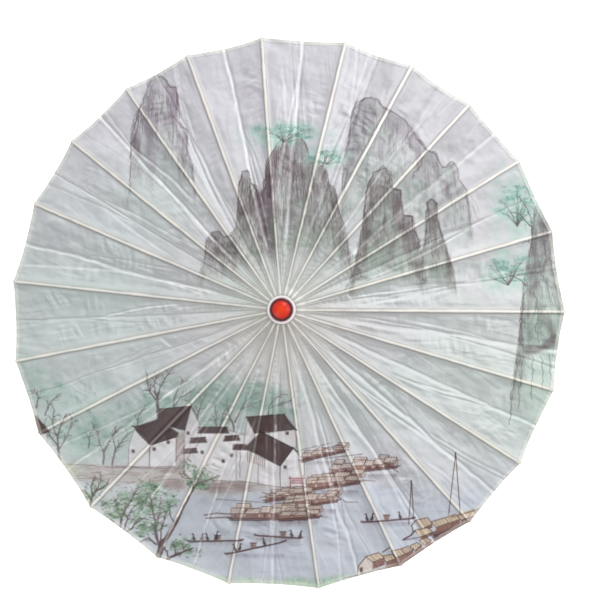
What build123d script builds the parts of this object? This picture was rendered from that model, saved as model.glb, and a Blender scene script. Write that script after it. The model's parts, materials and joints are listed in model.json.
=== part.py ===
from build123d import *
import math
import os

# Parasol of the east asian oil paper umbrella type, with a cloth canopy on split bamboo ribs.
# Frame: +Z up along the shaft, origin at the centre of the handle's flat end, and the canopy
# is stored open. All sizes are millimetres. "u" is the distance from the shaft's axis and "w"
# the height above the rib hinge circle, both in the vertical plane of one rib.

# ---- driving dimensions -------------------------------------------------------------------
# azimuth of each rib, degrees clockwise from +Y: glued by hand, so the spacing wanders
RIB_AZ = [0.0, 17.6, 32.3, 46.7, 62.3, 78.4, 95.2, 111.5, 128.0, 143.8, 160.7,
          178.2, 196.9, 212.6, 230.0, 248.8, 264.6, 281.3, 298.2, 313.5, 329.4, 344.0]
N_RIBS = len(RIB_AZ)         # ribs and stretchers, one stretcher to a rib
TIP_U = 420.0                # rib tip, so the canopy is 840 across its tips
TIP_W = -138.0               # rib tip below the hinge circle
RIB_SAG = 11.0               # bow of the open rib above its chord
HINGE_R = 15.0               # radius of both binding wires
HINGE_Z = 528.0              # height of the upper binding wire
ROOT_R = 2.0                 # rounded root of a rib or stretcher
RIB_W = 4.2                  # full width of a rib
TENON_W = 1.8                # width where it runs in a hub slot
SLOT_W = 2.05                # hub slots and the groove in the rib
PIVOT_T = 0.44               # share of the rib's length where the stretcher joins
PIVOT_DEPTH = 4.2            # that pivot below the rib's upper face
STRETCHER_W = 3.4
STRETCHER_H = 3.0
CLOSE_DEG = 70.4             # swing of a rib from open to closed
WIRE_R = 0.6                 # binding wire
EYE_R = 0.75                 # eye for the wire
PIN_R = 0.8                  # pivot pin of a stretcher
SHAFT_R = 6.0
FIXED = 0.05                 # radial gap in glued or pinned fits
HUB_R = 18.5
HUB_TOP = 3.9
HUB_BOTTOM = -5.5
RUNNER_R = 18.0
RUNNER_BORE = 6.3
SLEEVE_R = 10.5
SLEEVE_L = 30.0
GRIP_R = 9.0
GRIP_TOP = 98.0
CLOTH = 0.35                 # canopy thickness
CLOTH_GAP = 0.4              # canopy above the rib's upper face
COLLAR_R = 19.0
CAP_R = 15.3
DOME_R = 12.3
DOME_RISE = 5.525            # crown of the dome above its straight edge

os.makedirs("parts", exist_ok=True)


def save(shape, name):
    export_step(shape, f"parts/{name}.step")


# ---- the open rib's curve ---------------------------------------------------------------------
A = (HINGE_R, ROOT_R)
T = (TIP_U, TIP_W)
CHORD = math.hypot(T[0] - A[0], T[1] - A[1])
DIR = ((T[0] - A[0]) / CHORD, (T[1] - A[1]) / CHORD)
UP = (-DIR[1], DIR[0])
ARC_R = CHORD**2 / (8 * RIB_SAG) + RIB_SAG / 2


def top(t):
    """(u, w) on the rib's upper face, with t from 0 at the hinge to 1 at the tip."""
    rise = math.sqrt(ARC_R**2 - (CHORD * (t - 0.5)) ** 2) - (ARC_R - RIB_SAG)
    return (
        A[0] + DIR[0] * CHORD * t + UP[0] * rise,
        A[1] + DIR[1] * CHORD * t + UP[1] * rise,
    )


def normal(t):
    """Unit normal of the upper face, pointing up."""
    e = 1e-4
    a, b = top(t - e), top(t + e)
    length = math.hypot(b[0] - a[0], b[1] - a[1])
    return (-(b[1] - a[1]) / length, (b[0] - a[0]) / length)


def below(t, depth):
    p, n = top(t), normal(t)
    return (p[0] - n[0] * depth, p[1] - n[1] * depth)


# depth of the rib along its length: deepest where the stretcher joins
DEPTHS = [
    (0.0, 4.0), (0.03, 3.7), (0.08, 3.4), (0.15, 3.2), (0.25, 3.2), (0.33, 3.5),
    (0.38, 4.6), (0.415, 6.4), (0.462, 6.4), (0.50, 4.6), (0.53, 3.5), (0.60, 3.1),
    (0.70, 3.0), (0.80, 2.9), (0.90, 2.7), (1.0, 2.3),
]
STATIONS = [0.0, 0.02, 0.045, 0.08, 0.12, 0.17, 0.23, 0.29, 0.35, 0.40, 0.44, 0.48,
            0.53, 0.59, 0.66, 0.73, 0.80, 0.87, 0.94, 1.0]

PIVOT = below(PIVOT_T, PIVOT_DEPTH)
A_LEN = math.hypot(PIVOT[0] - HINGE_R, PIVOT[1])       # hinge to pivot, and pivot to runner
A_OPEN = math.degrees(math.atan2(-PIVOT[1], PIVOT[0] - HINGE_R))
RUNNER_W = -2 * A_LEN * math.sin(math.radians(A_OPEN))
RUNNER_W_CLOSED = -2 * A_LEN * math.sin(math.radians(A_OPEN + CLOSE_DEG))
RUNNER_Z = HINGE_Z + RUNNER_W
print("pivot", PIVOT, "arm", round(A_LEN, 4), "open angle", round(A_OPEN, 4))
print("runner hinge z open", round(RUNNER_Z, 3), "closed", round(HINGE_Z + RUNNER_W_CLOSED, 3),
      "travel", round(RUNNER_W - RUNNER_W_CLOSED, 3))


def xz(points):
    """A face in the XZ plane from (u, w) points, with w raised to the hinge circle."""
    wire = Wire.make_polygon([Vector(u, 0, HINGE_Z + w) for u, w in points], close=True)
    return Face(wire)


def slab(face, half):
    """The XZ face thickened to y = -half .. half."""
    return extrude(face, amount=half, dir=Vector(0, 1, 0), both=True)


def plan(points, low, high):
    """A solid over the plan outline given as (u, half width) pairs, from z low to high."""
    loop = [Vector(u, y, low) for u, y in points] + [Vector(u, -y, low) for u, y in reversed(points)]
    return extrude(Face(Wire.make_polygon(loop, close=True)), amount=high - low, dir=Vector(0, 0, 1))


def cyl_y(u, w, r, half):
    return Pos(u, 0, HINGE_Z + w) * Rot(90, 0, 0) * Cylinder(r, 2 * half)


# ---- rib, with its pivot pin as a second solid ------------------------------------------------
side = [top(t) for t in STATIONS] + [below(t, d) for t, d in reversed(DEPTHS)]
rib = slab(xz(side), 3.0)
widths = [(HINGE_R - 3, TENON_W / 2), (23.0, TENON_W / 2), (46.0, RIB_W / 2),
          (380.0, RIB_W / 2), (TIP_U - 2, 1.75), (TIP_U + 2, 1.3)]
rib = rib & plan(widths, HINGE_Z - 220, HINGE_Z + 40)
rib = rib + cyl_y(HINGE_R, 0, ROOT_R, TENON_W / 2)
rib = rib - cyl_y(HINGE_R, 0, EYE_R, 3)
slope = math.degrees(math.atan2(normal(PIVOT_T)[0], normal(PIVOT_T)[1]))   # downhill outwards
groove_len, groove_in = 39.0, 9.0
cutter = Box(groove_len, SLOT_W, 10.0, align=(Align.MIN, Align.CENTER, Align.MAX))
cutter = Pos(PIVOT[0], 0, HINGE_Z + PIVOT[1]) * Rot(0, slope, 0) * Pos(-groove_in, 0, PIVOT_DEPTH - 1.1) * cutter
rib = rib - cutter
rib = rib - cyl_y(PIVOT[0], PIVOT[1], PIN_R + 0.03, 3)
pin = cyl_y(PIVOT[0], PIVOT[1], PIN_R, RIB_W / 2 + 0.35)
rib_pair = [rib.solids()[0], pin.solids()[0]]
assert len(rib.solids()) == 1

# ---- stretcher, from the runner's wire out to the rib's pivot ---------------------------------
ux, uw = math.cos(math.radians(A_OPEN)), math.sin(math.radians(A_OPEN))


def along(x, h):
    """(u, w) at x along the stretcher from the runner's wire, h above its middle line."""
    return (HINGE_R + ux * x - uw * h, RUNNER_W + uw * x + ux * h)


hh = STRETCHER_H / 2
bar = [along(0, 1.8), along(14, hh + 0.1), along(40, hh), along(A_LEN - 30, hh), along(A_LEN - 12, hh), along(A_LEN, 1.6),
       along(A_LEN, -1.6), along(A_LEN - 12, -hh), along(A_LEN - 30, -hh), along(40, -hh), along(14, -hh - 0.1), along(0, -1.8)]
stretcher = slab(xz(bar), 3.0)
p0, p1 = along(0, 0), along(A_LEN, 0)
sw = [(HINGE_R - 4, TENON_W / 2), (HINGE_R + 11, TENON_W / 2), (HINGE_R + 24, STRETCHER_W / 2),
      (p1[0] - 42, STRETCHER_W / 2), (p1[0] - 30, TENON_W / 2), (p1[0] + 4, TENON_W / 2)]
stretcher = stretcher & plan(sw, HINGE_Z - 220, HINGE_Z + 40)
stretcher = stretcher + cyl_y(p0[0], p0[1], 1.8, TENON_W / 2) + cyl_y(p1[0], p1[1], 1.6, TENON_W / 2)
stretcher = stretcher - cyl_y(p0[0], p0[1], EYE_R, 3) - cyl_y(p1[0], p1[1], PIN_R + 0.05, 3)
assert len(stretcher.solids()) == 1
stretcher = stretcher.solids()[0]

# ribs run clockwise seen from above, the first one along +Y
for k in range(N_RIBS):
    turn = Rot(0, 0, 90 - RIB_AZ[k])
    save(Compound([turn * s for s in rib_pair]), f"rib_{k + 1:02d}")
    save(turn * stretcher, f"stretcher_{k + 1:02d}")

# ---- shaft, with the catch's slot in its -Y side ----------------------------------------------
RUNNER_BOTTOM = RUNNER_Z - 6.0 - SLEEVE_L
CATCH_LOW = RUNNER_BOTTOM - 34.5
CATCH_O = 1.0                # the catch's pivot in front of the axis
shaft_top = HINGE_Z + 11.5
shaft = Pos(0, 0, 20) * Cylinder(SHAFT_R, shaft_top - 20, align=(Align.CENTER, Align.CENTER, Align.MIN))
shaft = chamfer(shaft.edges().group_by(Axis.Z)[-1], 0.8)
slot_low, slot_high = CATCH_LOW - 4.0, RUNNER_BOTTOM + 2.5
shaft = shaft - Pos(0, -6.5, slot_low) * Box(2.2, 7.7, slot_high - slot_low, align=(Align.CENTER, Align.MIN, Align.MIN))
pin_hole = Pos(0, -CATCH_O, CATCH_LOW) * Rot(0, 90, 0) * Cylinder(0.83, 20)
hub_pin_hole = Pos(0, 0, HINGE_Z - 2.8) * Rot(0, 90, 0) * Cylinder(1.03, 40)
grip_pin_hole = Pos(0, 0, 62) * Rot(0, 90, 0) * Cylinder(1.03, 40)
shaft = shaft - pin_hole - hub_pin_hole - grip_pin_hole
save(shaft.solids()[0], "shaft")
save(Pos(0, -CATCH_O, CATCH_LOW) * Rot(0, 90, 0) * Cylinder(0.8, 11.2), "catch_pin")

# ---- catch: a sprung strip whose nose stands out under the runner -----------------------------
def yz(points, half):
    """(o, z) points, o being the distance in front of the axis, as a strip about x = 0."""
    wire = Wire.make_polygon([Vector(0, -o, z) for o, z in points], close=True)
    return extrude(Face(wire), amount=half, dir=Vector(1, 0, 0), both=True)


zb = RUNNER_BOTTOM
catch = yz([(2.6, zb - 0.5), (8.2, zb - 0.7), (8.4, zb - 1.8), (7.6, zb - 5), (5.5, zb - 15), (4.2, CATCH_LOW + 8),
            (2.8, CATCH_LOW - 1.5), (1.2, CATCH_LOW - 2.2), (-0.5, CATCH_LOW - 1.2), (-0.5, CATCH_LOW + 1.2),
            (1.4, CATCH_LOW + 10), (2.6, zb - 12)], 0.9)
catch = catch - Pos(0, -CATCH_O, CATCH_LOW) * Rot(0, 90, 0) * Cylinder(0.86, 20)
save(catch.solids()[0], "catch")

# ---- upper hub --------------------------------------------------------------------------------
def ring(r_out, r_in, z0, z1):
    body = Pos(0, 0, z0) * Cylinder(r_out, z1 - z0, align=(Align.CENTER, Align.CENTER, Align.MIN))
    return body - Pos(0, 0, z0 - 1) * Cylinder(r_in, z1 - z0 + 2, align=(Align.CENTER, Align.CENTER, Align.MIN))


def slots(r_in, z0, z1):
    one = Pos(r_in, 0, z0) * Box(20, SLOT_W, z1 - z0, align=(Align.MIN, Align.CENTER, Align.MIN))
    return [Rot(0, 0, 90 - a) * one for a in RIB_AZ]


hub = ring(HUB_R, SHAFT_R + FIXED, HINGE_Z + HUB_BOTTOM, HINGE_Z + HUB_TOP)
hub = hub + ring(10.5, SHAFT_R + FIXED, HINGE_Z + HUB_BOTTOM - 7, HINGE_Z + HUB_BOTTOM)
hub = hub - slots(12.4, HINGE_Z + HUB_BOTTOM - 1, HINGE_Z + 2.7)
hub = hub - ring(HUB_R + 2, HINGE_R - 0.75, HINGE_Z - 0.75, HINGE_Z + 0.75)
hub = hub - hub_pin_hole
save(hub.solids()[0], "top_hub")
save(Pos(0, 0, HINGE_Z) * Torus(HINGE_R, WIRE_R), "top_hub_wire")
save(Pos(0, 0, HINGE_Z - 2.8) * Rot(0, 90, 0) * Cylinder(1.0, 23.0), "top_hub_pin")

# ---- runner -----------------------------------------------------------------------------------
run = ring(RUNNER_R, RUNNER_BORE, RUNNER_Z - 6.0, RUNNER_Z + 4.4)
run = run + ring(SLEEVE_R, RUNNER_BORE, RUNNER_Z - 6.0 - SLEEVE_L, RUNNER_Z - 6.0)
run = run + ring(12.0, RUNNER_BORE, RUNNER_Z - 6.0 - SLEEVE_L, RUNNER_Z - 6.0 - SLEEVE_L + 5)
run = run - slots(12.4, RUNNER_Z - 2.7, RUNNER_Z + 6)
run = run - ring(RUNNER_R + 2, HINGE_R - 0.75, RUNNER_Z - 0.75, RUNNER_Z + 0.75)
save(run.solids()[0], "runner")
save(Pos(0, 0, RUNNER_Z) * Torus(HINGE_R, WIRE_R), "runner_wire")

# ---- cap --------------------------------------------------------------------------------------
cloth_top = HINGE_Z + HUB_TOP + 0.1 + CLOTH
collar = ring(COLLAR_R, SHAFT_R + FIXED, cloth_top + 0.1, cloth_top + 4.1)
collar = collar - ring(CAP_R + 0.3, SHAFT_R + FIXED - 1, cloth_top + 3.1, cloth_top + 5)
collar = fillet(collar.edges().group_by(Axis.Z)[-1].filter_by(lambda e: e.radius > 18), 1.3)
collar = fillet(collar.edges().group_by(Axis.Z)[-1].filter_by(lambda e: e.radius < 16.5), 0.6)
save(collar.solids()[0], "cap_collar")
base_z = cloth_top + 3.15
base = ring(CAP_R, SHAFT_R + FIXED, base_z, base_z + 3.2)
base = fillet(base.edges().group_by(Axis.Z)[-1].filter_by(lambda e: e.radius > 10), 1.2)
save(base.solids()[0], "cap_base")
dome_z = base_z + 3.25
dome = Pos(0, 0, dome_z) * Cylinder(DOME_R, 2.0, align=(Align.CENTER, Align.CENTER, Align.MIN))
ball_r = (DOME_R**2 + DOME_RISE**2) / (2 * DOME_RISE)
ball = Pos(0, 0, dome_z + 2.0 + (ball_r - math.sqrt(ball_r**2 - DOME_R**2)) - ball_r) * Sphere(ball_r)
keep = Pos(0, 0, dome_z + 1.9) * Cylinder(DOME_R, 30, align=(Align.CENTER, Align.CENTER, Align.MIN))
dome = dome + (ball & keep)
socket_top = shaft_top + 0.2
dome = dome - Pos(0, 0, dome_z - 1) * Cylinder(SHAFT_R + FIXED, socket_top - dome_z + 1, align=(Align.CENTER, Align.CENTER, Align.MIN))
save(dome.solids()[0], "cap_dome")
print("cap top z", dome.bounding_box().max.Z)

# ---- handle -----------------------------------------------------------------------------------
grip = Pos(0, 0, 6.1) * Cylinder(GRIP_R, GRIP_TOP - 6.1, align=(Align.CENTER, Align.CENTER, Align.MIN))
grip = chamfer(grip.edges().group_by(Axis.Z)[-1], 1.2)
grip = grip - ring(GRIP_R + 2, GRIP_R - 0.9, 90.5, 92.0) - ring(GRIP_R + 2, GRIP_R - 0.9, 94.0, 95.0)
grip = grip - Pos(0, 0, 19.9) * Cylinder(SHAFT_R + FIXED, 90, align=(Align.CENTER, Align.CENTER, Align.MIN))
grip = grip - Pos(0, 0, 5) * Cylinder(4.0 + FIXED, 10.2, align=(Align.CENTER, Align.CENTER, Align.MIN))
grip = grip - grip_pin_hole
save(grip.solids()[0], "handle_grip")
save(Pos(0, 0, 62) * Rot(0, 90, 0) * Cylinder(1.0, 17.0), "handle_pin")
ferrule = ring(8.0, SHAFT_R + FIXED, GRIP_TOP + 0.05, GRIP_TOP + 4.0)
ferrule = fillet(ferrule.edges().filter_by(GeomType.CIRCLE).filter_by(lambda e: e.radius > 7), 0.9)
save(ferrule.solids()[0], "handle_ferrule")
end = Cylinder(GRIP_R, 6.0, align=(Align.CENTER, Align.CENTER, Align.MIN))
end = fillet(end.edges().group_by(Axis.Z)[0], 2.4)
end = end + Pos(0, 0, 6.0) * Cylinder(4.0, 8.5, align=(Align.CENTER, Align.CENTER, Align.MIN))
save(end.solids()[0], "handle_end_cap")

# ---- canopy: one thin sheet, straight from rib to rib -------------------------------------------
under = [(11.0, HUB_TOP + 0.1), (20.2, HUB_TOP + 0.1)]
for t in STATIONS[2:]:
    p, n = top(t), normal(t)
    under.append((p[0] + n[0] * CLOTH_GAP, p[1] + n[1] * CLOTH_GAP))
under[-1] = (under[-1][0] - 0.3, under[-1][1] + 0.1)


def polygon_at(u, w):
    return [Vector(u * math.sin(math.radians(a)), u * math.cos(math.radians(a)), HINGE_Z + w) for a in RIB_AZ]


low = [polygon_at(u, w) for u, w in under]
high = [polygon_at(u, w + CLOTH) for u, w in under]


def quad(a, b, c, d):
    return Face(Wire.make_polygon([a, b, c, d], close=True))


faces = []
for k in range(N_RIBS):
    m = (k + 1) % N_RIBS
    for i in range(len(under) - 1):
        faces.append(quad(high[i][k], high[i][m], high[i + 1][m], high[i + 1][k]))
        faces.append(quad(low[i][k], low[i + 1][k], low[i + 1][m], low[i][m]))
    faces.append(quad(high[0][k], low[0][k], low[0][m], high[0][m]))
    faces.append(quad(high[-1][k], high[-1][m], low[-1][m], low[-1][k]))
canopy = Solid(Shell(faces))
if canopy.volume < 0:
    canopy = Solid(canopy.wrapped.Reversed())
print("canopy volume", canopy.volume, "valid", canopy.is_valid)
save(canopy, "canopy")
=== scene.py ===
import bpy
import json
import math
import numpy as np
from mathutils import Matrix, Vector


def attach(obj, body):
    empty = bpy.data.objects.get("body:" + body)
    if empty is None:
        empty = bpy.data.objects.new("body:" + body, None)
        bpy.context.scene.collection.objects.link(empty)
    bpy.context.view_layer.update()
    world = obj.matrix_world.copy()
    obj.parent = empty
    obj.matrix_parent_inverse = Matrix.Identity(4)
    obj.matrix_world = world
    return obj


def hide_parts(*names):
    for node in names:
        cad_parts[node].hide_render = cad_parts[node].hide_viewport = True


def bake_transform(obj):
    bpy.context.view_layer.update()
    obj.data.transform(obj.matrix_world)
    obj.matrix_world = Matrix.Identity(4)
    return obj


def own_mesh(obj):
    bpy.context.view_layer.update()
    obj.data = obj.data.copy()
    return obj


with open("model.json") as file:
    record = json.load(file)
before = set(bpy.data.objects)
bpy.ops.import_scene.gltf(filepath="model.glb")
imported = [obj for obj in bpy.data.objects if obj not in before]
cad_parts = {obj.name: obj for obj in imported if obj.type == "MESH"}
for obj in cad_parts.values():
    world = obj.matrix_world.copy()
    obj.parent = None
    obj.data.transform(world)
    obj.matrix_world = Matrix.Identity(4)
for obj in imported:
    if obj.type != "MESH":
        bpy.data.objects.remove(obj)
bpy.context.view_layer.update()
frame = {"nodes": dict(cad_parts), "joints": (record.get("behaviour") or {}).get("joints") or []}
rng = np.random.default_rng(2206)

# =====================================================================================
# camera: above the canopy, a little to its right and front
# =====================================================================================
F_PX = 825.85                                  # focal length in pixels of a 600-pixel frame
CAM_POS = np.array([0.04987, -0.01752, 1.640])
CAM_ROT = (0.02366, 0.02389, math.radians(-5.05))

cam_data = bpy.data.cameras.new("camera")
cam_data.sensor_width = 36.0
cam_data.lens = 36.0 * F_PX / 600.0
cam_data.clip_start, cam_data.clip_end = 0.01, 100.0
cam = bpy.data.objects.new("camera", cam_data)
bpy.context.scene.collection.objects.link(cam)
cam.location = CAM_POS
cam.rotation_mode = "XYZ"
cam.rotation_euler = CAM_ROT
bpy.context.scene.camera = cam
bpy.context.scene.view_settings.view_transform = "Standard"


def rot_xyz(rx, ry, rz):
    cx, sx, cy, sy, cz, sz = math.cos(rx), math.sin(rx), math.cos(ry), math.sin(ry), math.cos(rz), math.sin(rz)
    a = np.array([[1, 0, 0], [0, cx, -sx], [0, sx, cx]])
    b = np.array([[cy, 0, sy], [0, 1, 0], [-sy, 0, cy]])
    c = np.array([[cz, -sz, 0], [sz, cz, 0], [0, 0, 1]])
    return c @ b @ a


ART_ROT = rot_xyz(*CAM_ROT)


def art_xy(p):
    """Where a point of the open canopy lies on the painting, whose sheet is 600 units square and is laid out as seen from above."""
    v = (p - CAM_POS) @ ART_ROT
    return 300 + F_PX * v[:, 0] / -v[:, 2], 300 - F_PX * v[:, 1] / -v[:, 2]


# =====================================================================================
# the painting: a generic ink and wash landscape, drawn by code on an array
# =====================================================================================
S = 3
W = 600 * S


def lattice(h, w, cy, cx, seed):
    """Smooth value noise of h x w cells, 0..1, with lattice spacing (cy, cx) in cells."""
    r = np.random.default_rng(seed)
    ny, nx = int(h / cy) + 3, int(w / cx) + 3
    g = r.random((ny, nx)).astype(np.float32)
    y, x = np.arange(h) / cy, np.arange(w) / cx
    yi, xi = y.astype(int), x.astype(int)
    fy, fx = (y - yi)[:, None].astype(np.float32), (x - xi)[None, :].astype(np.float32)
    fy, fx = fy * fy * (3 - 2 * fy), fx * fx * (3 - 2 * fx)
    rows0 = g[yi][:, xi] * (1 - fx) + g[yi][:, xi + 1] * fx
    rows1 = g[yi + 1][:, xi] * (1 - fx) + g[yi + 1][:, xi + 1] * fx
    return rows0 * (1 - fy) + rows1 * fy


def fbm_canvas(cy, cx, octaves, seed):
    out, amp, tot = np.zeros((W, W), np.float32), 1.0, 0.0
    for o in range(octaves):
        out += amp * lattice(W, W, max(cy * S / 2**o, 1.0), max(cx * S / 2**o, 1.0), seed + 17 * o)
        tot += amp
        amp *= 0.55
    return out / tot


N_GRAIN = fbm_canvas(7, 7, 4, 11)
N_FINE = fbm_canvas(1.6, 1.6, 2, 12)
N_STREAK = fbm_canvas(22, 2.6, 3, 13)
N_BROAD = fbm_canvas(70, 70, 3, 14)
N_WATER = fbm_canvas(3.5, 40, 3, 15)


def rgb(r, g, b):
    return np.array([r, g, b], np.float32) / 255.0


art = np.empty((W, W, 3), np.float32)
YY, XX = np.mgrid[0:W, 0:W].astype(np.float32) / S


def smooth(lo, hi, v):
    t = np.clip((v - lo) / (hi - lo), 0, 1)
    return t * t * (3 - 2 * t)


def blur(m, r):
    """Three box blurs of radius r cells."""
    r = int(round(r))
    if r < 1:
        return m
    for _ in range(3):
        for axis in (0, 1):
            pad = [(0, 0), (0, 0)]
            pad[axis] = (r + 1, r)
            c = np.cumsum(np.pad(m, pad, mode="edge"), axis=axis)
            n = m.shape[axis]
            if axis == 0:
                m = (c[2 * r + 1 : 2 * r + 1 + n] - c[0:n]) / (2 * r + 1)
            else:
                m = (c[:, 2 * r + 1 : 2 * r + 1 + n] - c[:, 0:n]) / (2 * r + 1)
    return m


def crop(x0, y0, x1, y1):
    a, b = max(int(math.floor(x0 * S)), 0), max(int(math.floor(y0 * S)), 0)
    c, d = min(int(math.ceil(x1 * S)) + 1, W), min(int(math.ceil(y1 * S)) + 1, W)
    return slice(b, max(d, b + 1)), slice(a, max(c, a + 1))


def lay(box, mask, colour, alpha=1.0):
    """Paints the colour over the box of the canvas, with the mask as its opacity."""
    a = np.clip(mask * alpha, 0, 1)[..., None]
    art[box] = art[box] * (1 - a) + np.asarray(colour, np.float32) * a


def poly_mask(pts, soft=0.4, pad=3):
    p = np.asarray(pts, float)
    box = crop(p[:, 0].min() - pad, p[:, 1].min() - pad, p[:, 0].max() + pad, p[:, 1].max() + pad)
    x, y = XX[box], YY[box]
    inside = np.zeros(x.shape, bool)
    q = np.roll(p, -1, axis=0)
    for (x0, y0), (x1, y1) in zip(p, q):
        if y0 == y1:
            continue
        hit = (y0 > y) != (y1 > y)
        inside ^= hit & (x < (x1 - x0) * (y - y0) / (y1 - y0) + x0)
    return box, blur(inside.astype(np.float32), soft * S)


def poly(pts, colour, alpha=1.0, soft=0.35, grain=0.0, pad=3):
    box, m = poly_mask(pts, soft, pad)
    if grain:
        m = m * (1 - grain + 2 * grain * N_GRAIN[box])
    lay(box, m, colour, alpha)


def stroke(pts, width, colour, alpha=1.0, taper=(1.0, 1.0), dry=0.0):
    """A brush line through the points. The width goes from taper[0] to taper[1] of width."""
    p = np.asarray(pts, float)
    pad = width + 1.5
    box = crop(p[:, 0].min() - pad, p[:, 1].min() - pad, p[:, 0].max() + pad, p[:, 1].max() + pad)
    m = np.zeros(XX[box].shape, np.float32)
    ox, oy = box[1].start, box[0].start
    n = len(p) - 1
    for i in range(n):
        (x0, y0), (x1, y1) = p[i], p[i + 1]
        w0 = width * (taper[0] + (taper[1] - taper[0]) * i / n) / 2
        w1 = width * (taper[0] + (taper[1] - taper[0]) * (i + 1) / n) / 2
        r = max(w0, w1) + 1.0
        b = crop(min(x0, x1) - r, min(y0, y1) - r, max(x0, x1) + r, max(y0, y1) + r)
        x, y = XX[b], YY[b]
        dx, dy = x1 - x0, y1 - y0
        t = np.clip(((x - x0) * dx + (y - y0) * dy) / max(dx * dx + dy * dy, 1e-9), 0, 1)
        d = np.hypot(x - x0 - t * dx, y - y0 - t * dy)
        c = np.clip((w0 + (w1 - w0) * t - d) / 0.45 + 0.5, 0, 1)
        sub = m[b[0].start - oy : b[0].stop - oy, b[1].start - ox : b[1].stop - ox]
        np.maximum(sub, c[: sub.shape[0], : sub.shape[1]], out=sub)
    if dry:
        m = m * np.clip(1 - dry + 2 * dry * N_FINE[box], 0, 1)
    lay(box, m, colour, alpha)


def dab(x, y, rx, ry, colour, alpha, soft=0.5, grain=0.5):
    pad = max(rx, ry) * 1.3 + 2
    box = crop(x - pad, y - pad, x + pad, y + pad)
    d = np.hypot((XX[box] - x) / rx, (YY[box] - y) / ry)
    m = smooth(1.0 + soft * 0.4, 1.0 - soft, d + (N_GRAIN[box] - 0.5) * grain * 2)
    lay(box, m, colour, alpha)


def wobble(pts, amount, step, r):
    """The line resampled every step, with its points shaken."""
    p = np.asarray(pts, float)
    out = [p[0]]
    for a, b in zip(p[:-1], p[1:]):
        n = max(int(np.hypot(*(b - a)) / step), 1)
        for i in range(1, n + 1):
            out.append(a + (b - a) * i / n + r.normal(0, amount, 2))
    return np.array(out)


INK = rgb(90, 76, 80)
BARK = rgb(84, 68, 68)


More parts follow.
